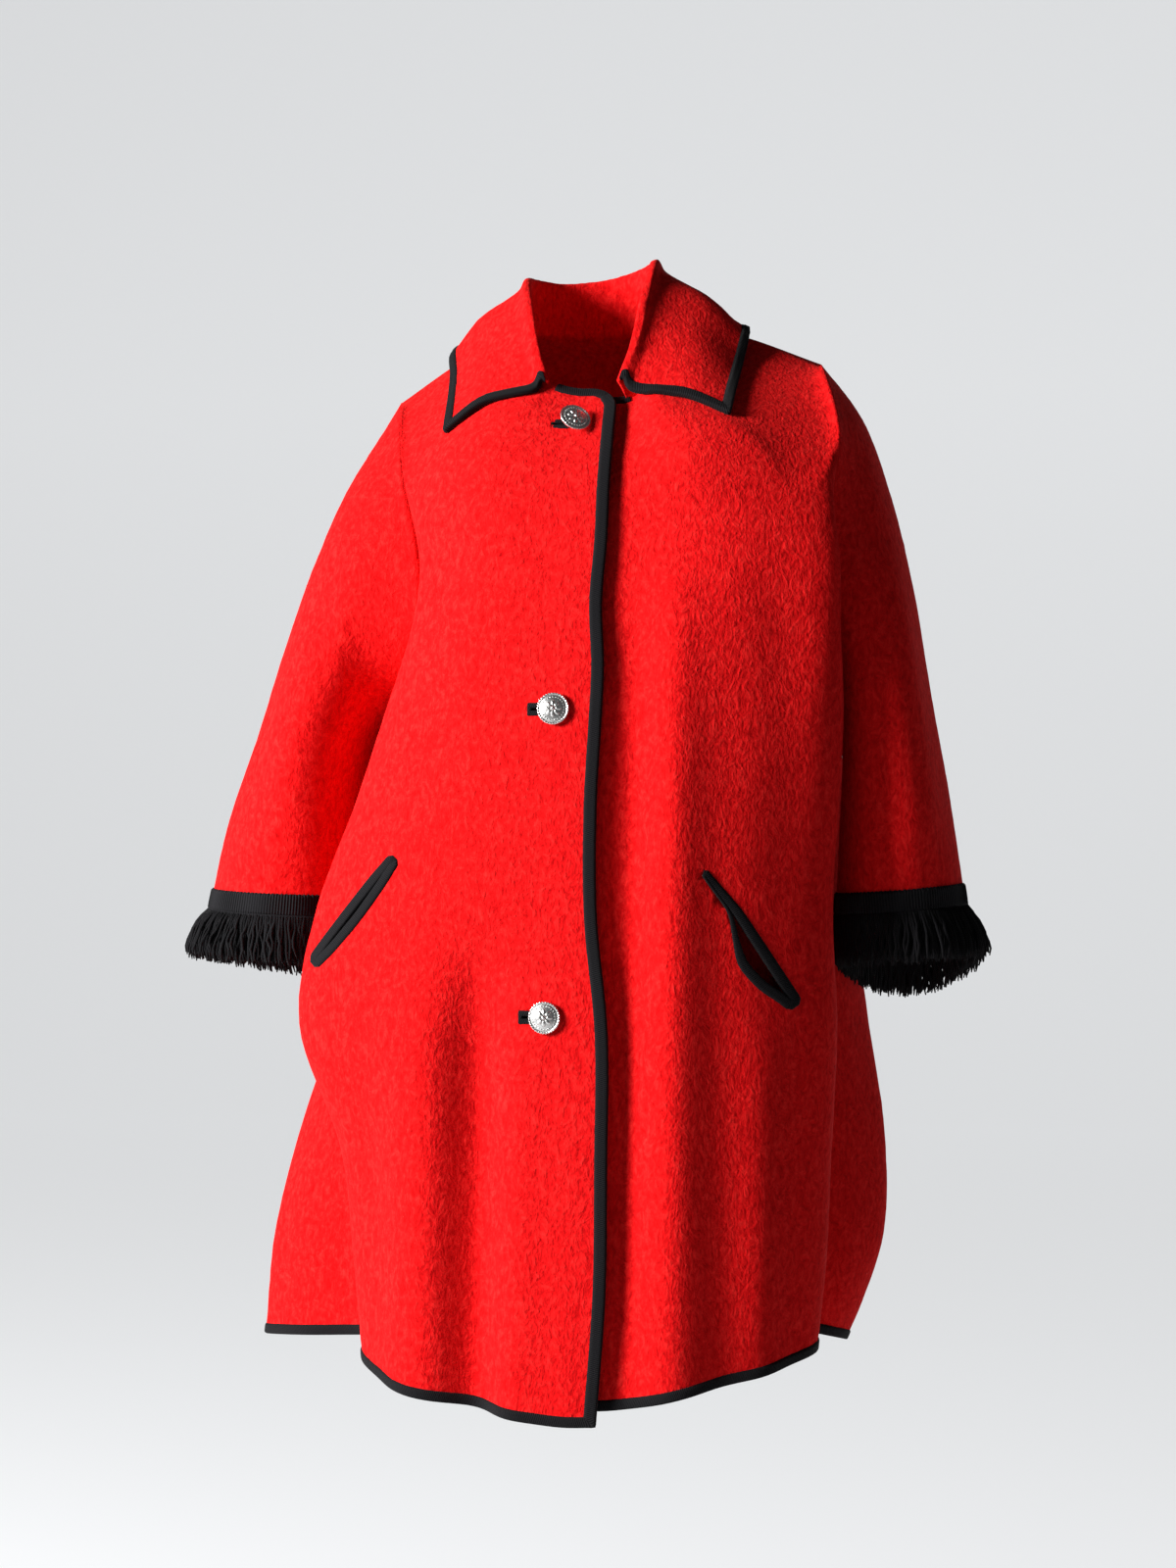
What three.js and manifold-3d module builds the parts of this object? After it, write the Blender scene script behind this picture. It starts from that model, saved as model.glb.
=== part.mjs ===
import * as THREE from 'three';
import { mergeVertices } from 'three/addons/utils/BufferGeometryUtils.js';
import Module from 'manifold-3d';

const wasm = await Module();
wasm.setup();

// Driving sizes in millimetres. The front faces -Y, the wearer's right is -X, and the origin is
// the middle of the neck opening, level with the side neck points.
const clothThick = 3;
const seamGap = 0.3;
const frontLapLeft = 32; // how far the left front passes the centre line, below the right one
const lapEnd = 54; // the left front comes up to its own face beyond this
const lapDepth = 7.2; // the left front lies this far behind the face of the right one
const edgeBindingWidth = 9.5;
const hemBindingWidth = 8;
const neckBindingWidth = 8;
const collarBindingWidth = 8.5;
const bindingSkin = 1;
const bindingClearance = 0.35;
const pocketClearance = 2; // the mouths lie across the panels' bends
const braidHeight = 19;
const braidThick = 1.8;
const stripHeight = 4; // the tape that carries the fringe, below the cuff's edge
const fringe = { strands: 50, length: 39, radius: 1.4, flare: 0.24 };
const button = { radius: 14, rise: 4.2, above: 1.3, shankWide: 6, shankThick: 1.8 };
const buttonhole = { length: 30, height: 12, thick: 4.4, slitLength: 25, slitHeight: 2.8 };
const pocketBinding = 7;
const pocketBag = { thick: 1.2, hollow: 7, depth: 120, behind: 0.9 };
const cornerRadius = 24; // upper corner of the right front
const buttonholeOffset = -9; // middle of the buttonhole, beside the button's shank
const frontCells = { flat: 9, roll: 4 }; // cells from the edge to the fold, and round to the seam
const backCells = { flat: 13, roll: 4 };
const backColumnsAcross = backCells.flat + 2 * backCells.roll;
const bodyRows = 10; // rows of cells from the underarm to the hem
const armholeRows = 10;
const collarCells = 20;
const bagCells = 4;
const mouthSteps = 9; // half the points round a pocket's mouth
const throughCloth = clothThick + 8; // depth of a cut that passes through a front
const foldGrowth = 420; // a fold reaches its full depth this far below its start
const collarMiddle = 8; // the collar sits this far to the wearer's left
const collarRest = clothThick + bindingSkin + bindingClearance + 2.4;
const shoulderLift = 5.5; // and this much more where it crosses the shoulder seams
const neckGap = 0.9;
const collarStart = { rightFront: -23, leftFront: 44 }; // x of the collar's ends on the neckline

// Colours of the cloth, the trim and the buttons
const finishes = {
  wool: { color: 0xc8141a, roughness: 0.95, metalness: 0 },
  binding: { color: 0x17161a, roughness: 0.8, metalness: 0 },
  fringe: { color: 0x101013, roughness: 0.9, metalness: 0 },
  silver: { color: 0xb9b7b0, roughness: 0.35, metalness: 1 },
};

function table(columns, rows) {
  const names = columns.split(' ');
  return rows.map((row) => Object.fromEntries(names.map((name, i) => [name, row[i]])));
}

// Rows of each front from the neckline to the hem. The centre is on the button line, the fold is
// where the front rolls away from the viewer, and the seam is the shoulder, armhole or side seam.
const frontColumns = 'edgeX centreY centreZ foldX foldY foldZ seamX seamY seamZ';
const rightFrontRows = table(frontColumns, [
  [37, -72, -66, 48, -50, -42, 66, 0, -2],
  [38.5, -108, -108, 86, -76, -76, 118, 5, -28],
  [39, -136, -156, 126, -92, -122, 176, 8, -66],
  [38.5, -148, -206, 130, -108, -170, 158, -72, -140],
  [35.5, -158, -262, 130, -114, -232, 139, -92, -215],
  [38.5, -166, -318, 145, -114, -298, 140, -86, -280],
  [37, -173, -370, 166, -112, -362, 166, -5, -352],
  [34, -179, -440, 193, -110, -437, 164, 0, -430],
  [35, -184, -535, 230, -110, -535, 180, 0, -532],
  [45, -188, -635, 245, -110, -635, 194, -5, -635],
  [45, -191, -750, 207, -108, -748, 180, -12, -748],
  [44, -194, -860, 196, -107, -845, 172, -15, -842],
  [36, -196, -972, 188, -105, -934, 166, -18, -926],
]);
const leftFrontRows = table(frontColumns, [
  [0, -72, -66, 62, -50, -42, 82, 0, 0],
  [0, -108, -106, 104, -76, -70, 138, 5, -10],
  [0, -136, -152, 172, -90, -100, 214, 8, -38],
  [0, -148, -204, 214, -104, -150, 237, -70, -108],
  [0, -158, -260, 238, -111, -215, 229, -90, -190],
  [0, -166, -316, 241, -112, -286, 222, -84, -270],
  [0, -173, -368, 241, -111, -355, 206, -5, -345],
  [0, -179, -438, 238, -110, -432, 196, 0, -428],
  [0, -184, -535, 231, -110, -535, 202, 0, -532],
  [0, -188, -635, 235, -110, -635, 205, -5, -635],
  [0, -191, -750, 230, -108, -748, 202, -12, -748],
  [0, -194, -860, 226, -106, -842, 196, -15, -838],
  [0, -196, -958, 218, -104, -918, 190, -18, -912],
]);
// The back in the same rows, with its own armhole seam
const backColumns = 'centreY centreZ foldX foldY foldZ seamX seamY seamZ';
const rightBackRows = table(backColumns, [
  [62, -4, 48, 44, -3, 66, 0, -2],
  [88, -28, 86, 70, -28, 118, 5, -28],
  [114, -80, 138, 86, -76, 176, 8, -66],
  [128, -148, 162, 106, -142, 172, 76, -140],
  [136, -220, 174, 115, -216, 166, 96, -215],
  [140, -288, 181, 118, -284, 160, 88, -280],
  [143, -358, 188, 116, -356, 166, -5, -352],
  [147, -434, 204, 114, -432, 164, 0, -430],
  [153, -534, 218, 112, -534, 180, 0, -532],
  [162, -635, 246, 106, -635, 194, -5, -635],
  [172, -748, 288, 86, -748, 180, -12, -748],
  [180, -846, 311, 68, -844, 172, -15, -842],
  [184, -944, 319, 60, -940, 166, -18, -926],
]);
const leftBackRows = table(backColumns, [
  [62, -4, 56, 44, -3, 82, 0, 0],
  [88, -28, 104, 70, -22, 138, 5, -10],
  [114, -80, 176, 86, -56, 214, 8, -38],
  [128, -148, 212, 106, -118, 234, 74, -108],
  [136, -220, 222, 116, -200, 228, 89, -190],
  [140, -288, 222, 119, -280, 218, 86, -270],
  [143, -358, 218, 118, -352, 206, -5, -345],
  [147, -434, 224, 114, -430, 196, 0, -428],
  [153, -534, 230, 114, -534, 202, 0, -532],
  [162, -635, 246, 105, -635, 205, -5, -635],
  [172, -748, 266, 84, -748, 202, -12, -748],
  [180, -846, 264, 66, -842, 196, -15, -838],
  [184, -944, 226, 54, -928, 190, -18, -912],
]);
const tipRow = 2;
const underarmRow = 6;
const hemRow = 12;
const lapLevelRow = 6; // from here down the fronts hang nearly straight

// Rings of each sleeve from the armhole to the cuff, by their points over and under the arm, and
// how much lower each hangs at the back
const sleeveColumns = 'overX overZ underX underZ frontY backY backDrop';
const rightSleeveRings = table(sleeveColumns, [
  [176, -66, 166, -352, -92, 96, 0],
  [212, -128, 190, -362, -93, 95, 0],
  [250, -206, 202, -384, -92, 95, 0],
  [281, -290, 209, -414, -90, 96, 2],
  [309, -375, 212, -450, -86, 93, 5],
  [338, -456, 212, -494, -80, 89, 10],
  [357, -536, 211, -542, -74, 84, 18],
]);
const leftSleeveRings = table(sleeveColumns, [
  [214, -38, 206, -345, -90, 90, 0],
  [251, -88, 230, -350, -88, 88, 0],
  [276, -155, 234, -378, -86, 90, 0],
  [297, -240, 234, -411, -84, 91, 4],
  [313, -335, 232, -449, -81, 90, 11],
  [330, -430, 230, -492, -77, 87, 23],
  [345, -529, 228, -538, -72, 84, 38],
]);
const cuffRing = 6;

const mix = THREE.MathUtils.lerp;
const point = (x, y, z) => new THREE.Vector3(x, y, z);

function spline(points, closed = false) {
  return new THREE.CatmullRomCurve3(points, closed, 'centripetal');
}

// Rows of the fine grid: two or three for each row of the tables, with one more beside the
// neckline and the hem where the bindings end.
function fineSteps() {
  const steps = [];
  for (let t = 0; t < tipRow; t += 0.5) steps.push(t);
  for (let k = 0; k < armholeRows; k += 1) steps.push(mix(tipRow, underarmRow, k / armholeRows));
  for (let k = 0; k <= bodyRows; k += 1) steps.push(mix(underarmRow, hemRow, k / bodyRows));
  return steps;
}

const steps = fineSteps();
const rowSteps = [steps[0], 'neck', ...steps.slice(1, -1), 'hem', hemRow];
const tipIndex = rowSteps.indexOf(tipRow);
const underarmIndex = rowSteps.indexOf(underarmRow);
const lastIndex = rowSteps.length - 1;

// Turns a row step into a curve parameter, with the two binding rows at their true width
function stepParameter(step, columnCurve) {
  const total = hemRow;
  if (step === 'neck') {
    const length = columnCurve.getPoint(0).distanceTo(columnCurve.getPoint(0.25 / total)) * 4;
    return neckBindingWidth / length / total;
  }
  if (step === 'hem') {
    const length = columnCurve.getPoint(1).distanceTo(columnCurve.getPoint(1 - 0.25 / total)) * 4;
    return 1 - hemBindingWidth / length / total;
  }
  return step / total;
}

// Points of one section from the front edge to the seam; side is -1 on the wearer's right
function frontSection(rows, index, side) {
  const row = rows[index];
  const centre = point(0, row.centreY, row.centreZ);
  const middleX = side < 0 ? 0.62 * row.foldX : (lapEnd + row.foldX) / 2;
  const outward = [
    point(
      side * middleX,
      mix(row.centreY, row.foldY, 0.24),
      mix(row.centreZ, row.foldZ, 0.45),
    ),
    point(side * row.foldX, row.foldY, row.foldZ),
    point(side * row.seamX, row.seamY, row.seamZ),
  ];
  if (side < 0) return [point(row.edgeX, row.centreY, row.centreZ), centre, ...outward];
  return [...lapPoints(index), ...outward];
}

// The left front's points below the right one, moved in from its face
function lapPoints(index) {
  const above = rightFrontRows[Math.max(index - 1, 0)];
  const below = rightFrontRows[Math.min(index + 1, hemRow)];
  const fall = point(0, below.centreY - above.centreY, below.centreZ - above.centreZ).normalize();
  const face = spline(frontSection(rightFrontRows, index, -1));
  const samples = Array.from({ length: 201 }, (_, k) => k / 200);
  return [-frontLapLeft, 4, lapEnd].map((x) => {
    const distance = (u) => Math.abs(face.getPointAt(u).x - x);
    const nearest = samples.reduce((a, b) => (distance(a) < distance(b) ? a : b));
    const inward = fall.clone().cross(face.getTangentAt(nearest)).normalize();
    const place = face.getPointAt(nearest).addScaledVector(inward, lapDepth);
    return point(x, place.y, index < lapLevelRow ? place.z : leftFrontRows[index].centreZ);
  });
}

function backSection(rightRow, leftRow) {
  const half = (row, side) => [
    point(side * row.seamX, row.seamY, row.seamZ),
    point(side * row.foldX, row.foldY, row.foldZ),
    point(
      side * 0.6 * row.foldX,
      mix(row.centreY, row.foldY, 0.24),
      mix(row.centreZ, row.foldZ, 0.4),
    ),
  ];
  const centre = point(0, rightRow.centreY, rightRow.centreZ);
  return [...half(rightRow, -1), centre, ...half(leftRow, 1).reverse()];
}

// Seams shared by the panels on one side: shoulder, armhole loop and side seam
function seamCurves(frontRows, backRows, side) {
  const place = (row) => point(side * row.seamX, row.seamY, row.seamZ);
  const frontPoints = frontRows.slice(tipRow, underarmRow + 1).map(place);
  const backPoints = backRows.slice(tipRow + 1, underarmRow).map(place).reverse();
  const shoulder = spline(frontRows.slice(0, tipRow + 1).map(place));
  const armhole = spline([...frontPoints, ...backPoints], true);
  const sideSeam = spline(frontRows.slice(underarmRow).map(place));
  return { shoulder, armhole, sideSeam };
}

function seamPoint(seams, step, isFront) {
  if (step === 'neck') {
    const start = seams.shoulder.getLength();
    return seams.shoulder.getPointAt(neckBindingWidth / start);
  }
  if (step === 'hem') {
    return seams.sideSeam.getPointAt(1 - hemBindingWidth / seams.sideSeam.getLength());
  }
  if (step <= tipRow) return seams.shoulder.getPoint(step / tipRow);
  if (step < underarmRow) {
    const around = (step - tipRow) / (underarmRow - tipRow) / 2;
    return seams.armhole.getPoint(isFront ? around : 1 - around);
  }
  return seams.sideSeam.getPoint((step - underarmRow) / (hemRow - underarmRow));
}

// Share of a section's length that lies before one of its own points
function shareBefore(curve, index) {
  const perPoint = 24;
  const lengths = curve.getLengths((curve.points.length - 1) * perPoint);
  return lengths[index * perPoint] / lengths[lengths.length - 1];
}

function evenly(from, to, cells) {
  return Array.from({ length: cells }, (_, k) => mix(from, to, (k + 1) / cells));
}

// A grid of points over a panel, from the sections in its table rows
function panelGrid(sections, fractions, seamAt) {
  const rows = sections.map((points) => {
    const curve = spline(points);
    curve.arcLengthDivisions = (points.length - 1) * 24;
    return fractions(curve).map((u) => curve.getPointAt(u));
  });
  const columns = rows[0].map((_, j) => spline(rows.map((row) => row[j])));
  const grid = rowSteps.map((step) => {
    return columns.map((curve) => curve.getPoint(stepParameter(step, curve)));
  });
  rowSteps.forEach((step, i) => seamAt(step, grid[i]));
  return grid;
}

// Moves the end of a row onto its seam and spreads the change over the neighbouring points
function pullToSeam(row, target, fromEnd) {
  const reach = 4;
  const last = fromEnd ? row.length - 1 : 0;
  const shift = target.clone().sub(row[last]);
  for (let k = 0; k < reach; k += 1) {
    const weight = (1 - k / reach) ** 2;
    row[fromEnd ? last - k : k].addScaledVector(shift, weight);
  }
}

function frontGrid(rows, side, seams) {
  const sections = rows.map((_, index) => frontSection(rows, index, side));
  const fractions = (curve) => {
    const first = edgeBindingWidth / curve.getLength();
    const fold = shareBefore(curve, curve.points.length - 2);
    return [
      0,
      first,
      ...evenly(first, fold, frontCells.flat - 1),
      ...evenly(fold, 1, frontCells.roll),
    ];
  };
  return panelGrid(sections, fractions, (step, row) => {
    pullToSeam(row, seamPoint(seams, step, true), true);
  });
}

function backGrid(rightSeams, leftSeams) {
  const sections = rightBackRows.map((row, i) => backSection(row, leftBackRows[i]));
  const fractions = (curve) => {
    const rightFold = shareBefore(curve, 1);
    const leftFold = shareBefore(curve, curve.points.length - 2);
    return [
      0,
      ...evenly(0, rightFold, backCells.roll),
      ...evenly(rightFold, leftFold, backCells.flat),
      ...evenly(leftFold, 1, backCells.roll),
    ];
  };
  return panelGrid(sections, fractions, (step, row) => {
    pullToSeam(row, seamPoint(rightSeams, step, false), false);
    pullToSeam(row, seamPoint(leftSeams, step, false), true);
  });
}

// Rounds the upper corner of the right front and sets the next point in for the binding's width
function roundCorner(grid) {
  const corner = grid[0][0].clone();
  const inward = grid[0][1].clone().sub(corner).normalize();
  const down = grid[2][0].clone().sub(corner).normalize();
  const onArc = (degrees, radius) => {
    const angle = THREE.MathUtils.degToRad(degrees);
    return corner.clone()
      .addScaledVector(inward, cornerRadius - radius * Math.sin(angle))
      .addScaledVector(down, cornerRadius - radius * Math.cos(angle));
  };
  grid[0][1].copy(onArc(15, cornerRadius));
  grid[0][0].copy(onArc(45, cornerRadius));
  grid[1][0].copy(onArc(75, cornerRadius));
  grid[1][1].copy(onArc(45, cornerRadius - edgeBindingWidth));
}

// A sleeve's rings, each with a point for every row of the armhole, front then back
function sleeveGrid(rings, side, seams) {
  const segments = 2 * (underarmIndex - tipIndex);
  const controls = rings.map((ring, r) => {
    const over = point(side * ring.overX, 6, ring.overZ);
    const under = point(side * ring.underX, 2, ring.underZ);
    const centre = over.clone().add(under).multiplyScalar(0.5);
    const axis = over.clone().sub(centre);
    return Array.from({ length: segments }, (_, k) => {
      if (r === 0) return seams.armhole.getPoint(k / segments);
      const angle = (2 * Math.PI * k) / segments;
      const across = Math.sin(angle);
      const depth = across > 0 ? ring.frontY : -ring.backY;
      const drop = ring.backDrop * Math.max(-across, 0) ** 1.3;
      const shift = point(0, depth * across, -drop);
      return centre.clone().addScaledVector(axis, Math.cos(angle)).add(shift);
    });
  });
  const columns = controls[0].map((_, k) => spline(controls.map((ring) => ring[k])));
  const grid = [];
  for (let r = 0; r <= cuffRing - 0.5; r += 0.5) {
    grid.push(columns.map((curve) => curve.getPoint(r / cuffRing)));
  }
  grid.push(columns.map((curve) => curve.getPointAt(1 - braidHeight / curve.getLength())));
  grid.push(columns.map((curve) => curve.getPoint(1)));
  return grid;
}

// Normals of a grid, facing out of the coat where facing is 1 or -1 as its columns run
function gridNormals(grid, facing, around = false) {
  const count = grid[0].length;
  const wrap = (j) => (around ? (j + count) % count : THREE.MathUtils.clamp(j, 0, count - 1));
  return grid.map((row, i) => row.map((_, j) => {
    const across = row[wrap(j + 1)].clone().sub(row[wrap(j - 1)]);
    const up = grid[Math.max(i - 1, 0)][j];
    const down = grid[Math.min(i + 1, grid.length - 1)][j];
    return across.cross(down.clone().sub(up)).multiplyScalar(facing).normalize();
  }));
}

function geometryFrom(vertices, triangles) {
  let volume = 0;
  for (const [a, b, c] of triangles) {
    volume += vertices[a].dot(vertices[b].clone().cross(vertices[c]));
  }
  const geometry = new THREE.BufferGeometry();
  const positions = vertices.flatMap((v) => [v.x, v.y, v.z]);
  const faces = triangles.flatMap(([a, b, c]) => (volume > 0 ? [a, b, c] : [a, c, b]));
  geometry.setAttribute('position', new THREE.Float32BufferAttribute(positions, 3));
  geometry.setIndex(faces);
  return geometry;
}

// A closed wall: the grid is its outer face, and the inner face lies a cloth's thickness behind it
function wall(grid, normals, around = false, thick = clothThick) {
  const rows = grid.length;
  const count = grid[0].length;
  const vertices = [];
  const outer = (i, j) => i * count + ((j + count) % count);
  const inner = (i, j) => rows * count + outer(i, j);
  grid.forEach((row) => row.forEach((p) => vertices.push(p.clone())));
  grid.forEach((row, i) => row.forEach((p, j) => {
    vertices.push(p.clone().addScaledVector(normals[i][j], -thick));
  }));
  const triangles = [];
  const quad = (a, b, c, d) => triangles.push([a, b, c], [a, c, d]);
  const cells = around ? count : count - 1;
  for (let i = 0; i < rows - 1; i += 1) {
    for (let j = 0; j < cells; j += 1) {
      quad(outer(i, j), outer(i, j + 1), outer(i + 1, j + 1), outer(i + 1, j));
      quad(inner(i + 1, j + 1), inner(i, j + 1), inner(i, j), inner(i + 1, j));
    }
  }
  // Rims that face each other across a seam share the diagonal from the lower outer point
  for (let j = 0; j < cells; j += 1) {
    if (j < cells / 2) quad(outer(0, j + 1), outer(0, j), inner(0, j), inner(0, j + 1));
    else quad(outer(0, j), inner(0, j), inner(0, j + 1), outer(0, j + 1));
    quad(outer(rows - 1, j), outer(rows - 1, j + 1), inner(rows - 1, j + 1), inner(rows - 1, j));
  }
  if (!around) {
    for (let i = 0; i < rows - 1; i += 1) {
      quad(outer(i + 1, 0), inner(i + 1, 0), inner(i, 0), outer(i, 0));
      quad(outer(i + 1, count - 1), outer(i, count - 1), inner(i, count - 1), inner(i + 1, count - 1));
    }
  }
  return geometryFrom(vertices, triangles);
}

const group = new THREE.Group();

function addMesh(name, geometry, finish) {
  const mesh = new THREE.Mesh(geometry, new THREE.MeshStandardMaterial(finishes[finish]));
  mesh.name = name;
  group.add(mesh);
}

const sides = {
  right: { sign: -1, seams: seamCurves(rightFrontRows, rightBackRows, -1) },
  left: { sign: 1, seams: seamCurves(leftFrontRows, leftBackRows, 1) },
};
const grids = {
  rightFront: frontGrid(rightFrontRows, -1, sides.right.seams),
  leftFront: frontGrid(leftFrontRows, 1, sides.left.seams),
  back: backGrid(sides.right.seams, sides.left.seams),
  rightSleeve: sleeveGrid(rightSleeveRings, -1, sides.right.seams),
  leftSleeve: sleeveGrid(leftSleeveRings, 1, sides.left.seams),
};
roundCorner(grids.rightFront);

const normals = {
  rightFront: gridNormals(grids.rightFront, 1),
  leftFront: gridNormals(grids.leftFront, -1),
  back: gridNormals(grids.back, 1),
  rightSleeve: gridNormals(grids.rightSleeve, -1, true),
  leftSleeve: gridNormals(grids.leftSleeve, 1, true),
};

// Gives the panels that meet at a seam one normal there, so that their edges stay parallel
function shareSeamNormals(frontName, sleeveName, backColumn) {
  const front = normals[frontName];
  const back = normals.back;
  const sleeve = normals[sleeveName];
  const edge = front[0].length - 1;
  const around = sleeve[0].length;
  for (let i = 0; i <= lastIndex; i += 1) {
    const onArmhole = i >= tipIndex && i <= underarmIndex;
    const k = i - tipIndex;
    const meeting = [];
    if (i <= tipIndex || i >= underarmIndex) meeting.push([front[i][edge], back[i][backColumn]]);
    if (onArmhole && k > 0 && i < underarmIndex) {
      meeting.push([front[i][edge], sleeve[0][k]], [back[i][backColumn], sleeve[0][around - k]]);
    }
    for (const pair of meeting) {
      const shared = pair[0].clone().add(pair[1]).normalize();
      shared.divideScalar(Math.max(shared.dot(pair[0]), 0.5));
      pair.forEach((normal) => normal.copy(shared));
    }
    if (i === tipIndex) sleeve[0][0].copy(front[i][edge]);
    if (i === underarmIndex) sleeve[0][k].copy(front[i][edge]);
  }
}

shareSeamNormals('rightFront', 'rightSleeve', 0);
shareSeamNormals('leftFront', 'leftSleeve', backColumnsAcross);

// Draws the edge of each panel back from its seam by half the gap
function partSeams() {
  const half = seamGap / 2;
  const pull = (row, at, toward) => {
    row[at].addScaledVector(row[toward].clone().sub(row[at]).normalize(), half);
  };
  for (const row of grids.rightFront) pull(row, row.length - 1, row.length - 2);
  for (const row of grids.leftFront) pull(row, row.length - 1, row.length - 2);
  for (const row of grids.back) {
    pull(row, 0, 1);
    pull(row, row.length - 1, row.length - 2);
  }
  for (const grid of [grids.rightSleeve, grids.leftSleeve]) {
    grid[0].forEach((p, j) => p.addScaledVector(grid[1][j].clone().sub(p).normalize(), half));
  }
}

partSeams();

// The largest soft folds of the body: x on the face at the top and the hem, the height where each
// starts, its depth out of the cloth (a trough is negative) and its half width.
const foldColumns = 'panel topX hemX topZ depth width';
const bodyFolds = table(foldColumns, [
  ['rightFront', -71, -78, -560, -17, 24],
  ['rightFront', -122, -132, -600, 8, 26],
  ['rightFront', -40, -48, -620, 6, 24],
  ['leftFront', 102, 106, -230, 8, 27],
  ['leftFront', 152, 150, -380, -4, 20],
  ['leftFront', 176, 172, -620, 8, 22],
  ['back', -225, -262, -430, 9, 34],
  ['back', -150, -186, -330, -13, 36],
  ['back', -82, -100, -260, 11, 34],
  ['back', -8, -14, -300, -12, 38],
  ['back', 70, 82, -260, 12, 34],
  ['back', 140, 158, -340, -13, 34],
  ['back', 205, 226, -420, 8, 28],
]);

function applyFolds() {
  for (const fold of bodyFolds) {
    const grid = grids[fold.panel];
    grid.forEach((row, i) => row.forEach((p, j) => {
      const fromEdge = Math.min(j - 1, row.length - 1 - j);
      const fade = THREE.MathUtils.clamp(fromEdge / 2, 0, 1);
      const fall = THREE.MathUtils.clamp((fold.topZ - p.z) / foldGrowth, 0, 1);
      const lineX = mix(fold.topX, fold.hemX, fall);
      const clearOfLap = fold.panel === 'leftFront' && p.x < lapEnd ? 0 : 1;
      const away = (p.x - lineX) / fold.width;
      const amount = fold.depth * Math.sqrt(fall) * Math.exp(-away * away) * fade * clearOfLap;
      p.addScaledVector(normals[fold.panel][i][j], amount);
    }));
  }
}

applyFolds();

function toSolid(geometry) {
  const vertProperties = new Float32Array(geometry.attributes.position.array);
  const triVerts = new Uint32Array(geometry.index.array);
  return new wasm.Manifold(new wasm.Mesh({ numProp: 3, vertProperties, triVerts }));
}

function fromSolid(solid) {
  const mesh = solid.getMesh();
  const geometry = new THREE.BufferGeometry();
  geometry.setAttribute('position', new THREE.Float32BufferAttribute(mesh.vertProperties, 3));
  geometry.setIndex(Array.from(mesh.triVerts));
  return geometry;
}

function mergedSolid(geometry) {
  const bare = geometry.clone();
  bare.deleteAttribute('normal');
  bare.deleteAttribute('uv');
  return toSolid(mergeVertices(bare, 1e-4));
}

// A folded strip round an edge. Each station has the edge point, a point further in on the same
// face, and the normals there; the strip clasps both faces of the cloth.
function clasp(stations, closed = false, reach = 0.9, low = bindingClearance) {
  const high = low + bindingSkin;
  const back = -clothThick;
  const rings = stations.map(({ edge, inside, edgeNormal, insideNormal }) => {
    const inward = inside.clone().sub(edge).normalize();
    const tip = edge.clone().lerp(inside, reach);
    const tipNormal = edgeNormal.clone().lerp(insideNormal, reach);
    const atTip = (h) => tip.clone().addScaledVector(tipNormal, h);
    const atEdge = (out, h) => {
      return edge.clone().addScaledVector(inward, -out).addScaledVector(edgeNormal, h);
    };
    return [
      atTip(low),
      atEdge(low, low),
      atEdge(low, back - low),
      atTip(back - low),
      atTip(back - high),
      atEdge(low + bindingSkin / 2, back - high),
      atEdge(high, back / 2),
      atEdge(low + bindingSkin / 2, high),
      atTip(high),
    ];
  });
  // The faces next to the cloth are split along the same diagonals as the cloth's own cells
  const split = (r, k) => (stations[r].upright ? k === 0 : k === 2);
  return sweep(rings, closed, claspCap, split);
}

const claspCap = [[0, 1, 7], [0, 7, 8], [1, 6, 7], [1, 2, 6], [2, 5, 6], [2, 3, 4], [2, 4, 5]];

// Joins rings of matching points into a closed body, with the given triangles as end caps
function sweep(rings, closed, cap, split = () => false) {
  const count = rings[0].length;
  const vertices = rings.flat();
  const triangles = [];
  const spans = closed ? rings.length : rings.length - 1;
  for (let r = 0; r < spans; r += 1) {
    const here = r * count;
    const next = ((r + 1) % rings.length) * count;
    for (let k = 0; k < count; k += 1) {
      const after = (k + 1) % count;
      if (split(r, k)) {
        triangles.push([here + k, next + k, here + after], [next + k, next + after, here + after]);
      } else {
        triangles.push([here + k, next + k, next + after], [here + k, next + after, here + after]);
      }
    }
  }
  if (!closed) {
    const end = (rings.length - 1) * count;
    for (const [a, b, c] of cap) {
      triangles.push([a, b, c]);
      triangles.push([end + c, end + b, end + a]);
    }
  }
  return geometryFrom(vertices, triangles);
}

// A station on a panel's edge; upright says that the edge runs down the panel's rows
function station(name, edge, inside, upright = false) {
  const [i, j] = edge;
  const [m, n] = inside;
  return {
    edge: grids[name][i][j],
    inside: grids[name][m][n],
    edgeNormal: normals[name][i][j],
    insideNormal: normals[name][m][n],
    upright,
  };
}

// Bindings of a front: along the neck from the collar's end, down the edge and along the hem
function frontBinding(name, neckColumns) {
  const stations = [];
  const lastColumn = grids[name][0].length - 1;
  for (let j = neckColumns; j > 0; j -= 1) stations.push(station(name, [0, j], [1, j]));
  stations.push(station(name, [0, 0], [1, 1], true));
  for (let i = 1; i < lastIndex; i += 1) stations.push(station(name, [i, 0], [i, 1], true));
  stations.push(station(name, [lastIndex, 0], [lastIndex - 1, 1]));
  for (let j = 1; j <= lastColumn; j += 1) {
    stations.push(station(name, [lastIndex, j], [lastIndex - 1, j]));
  }
  return clasp(stations);
}

function backBinding() {
  const columns = grids.back[0].map((_, j) => j);
  return clasp(columns.map((j) => station('back', [lastIndex, j], [lastIndex - 1, j])));
}

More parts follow.
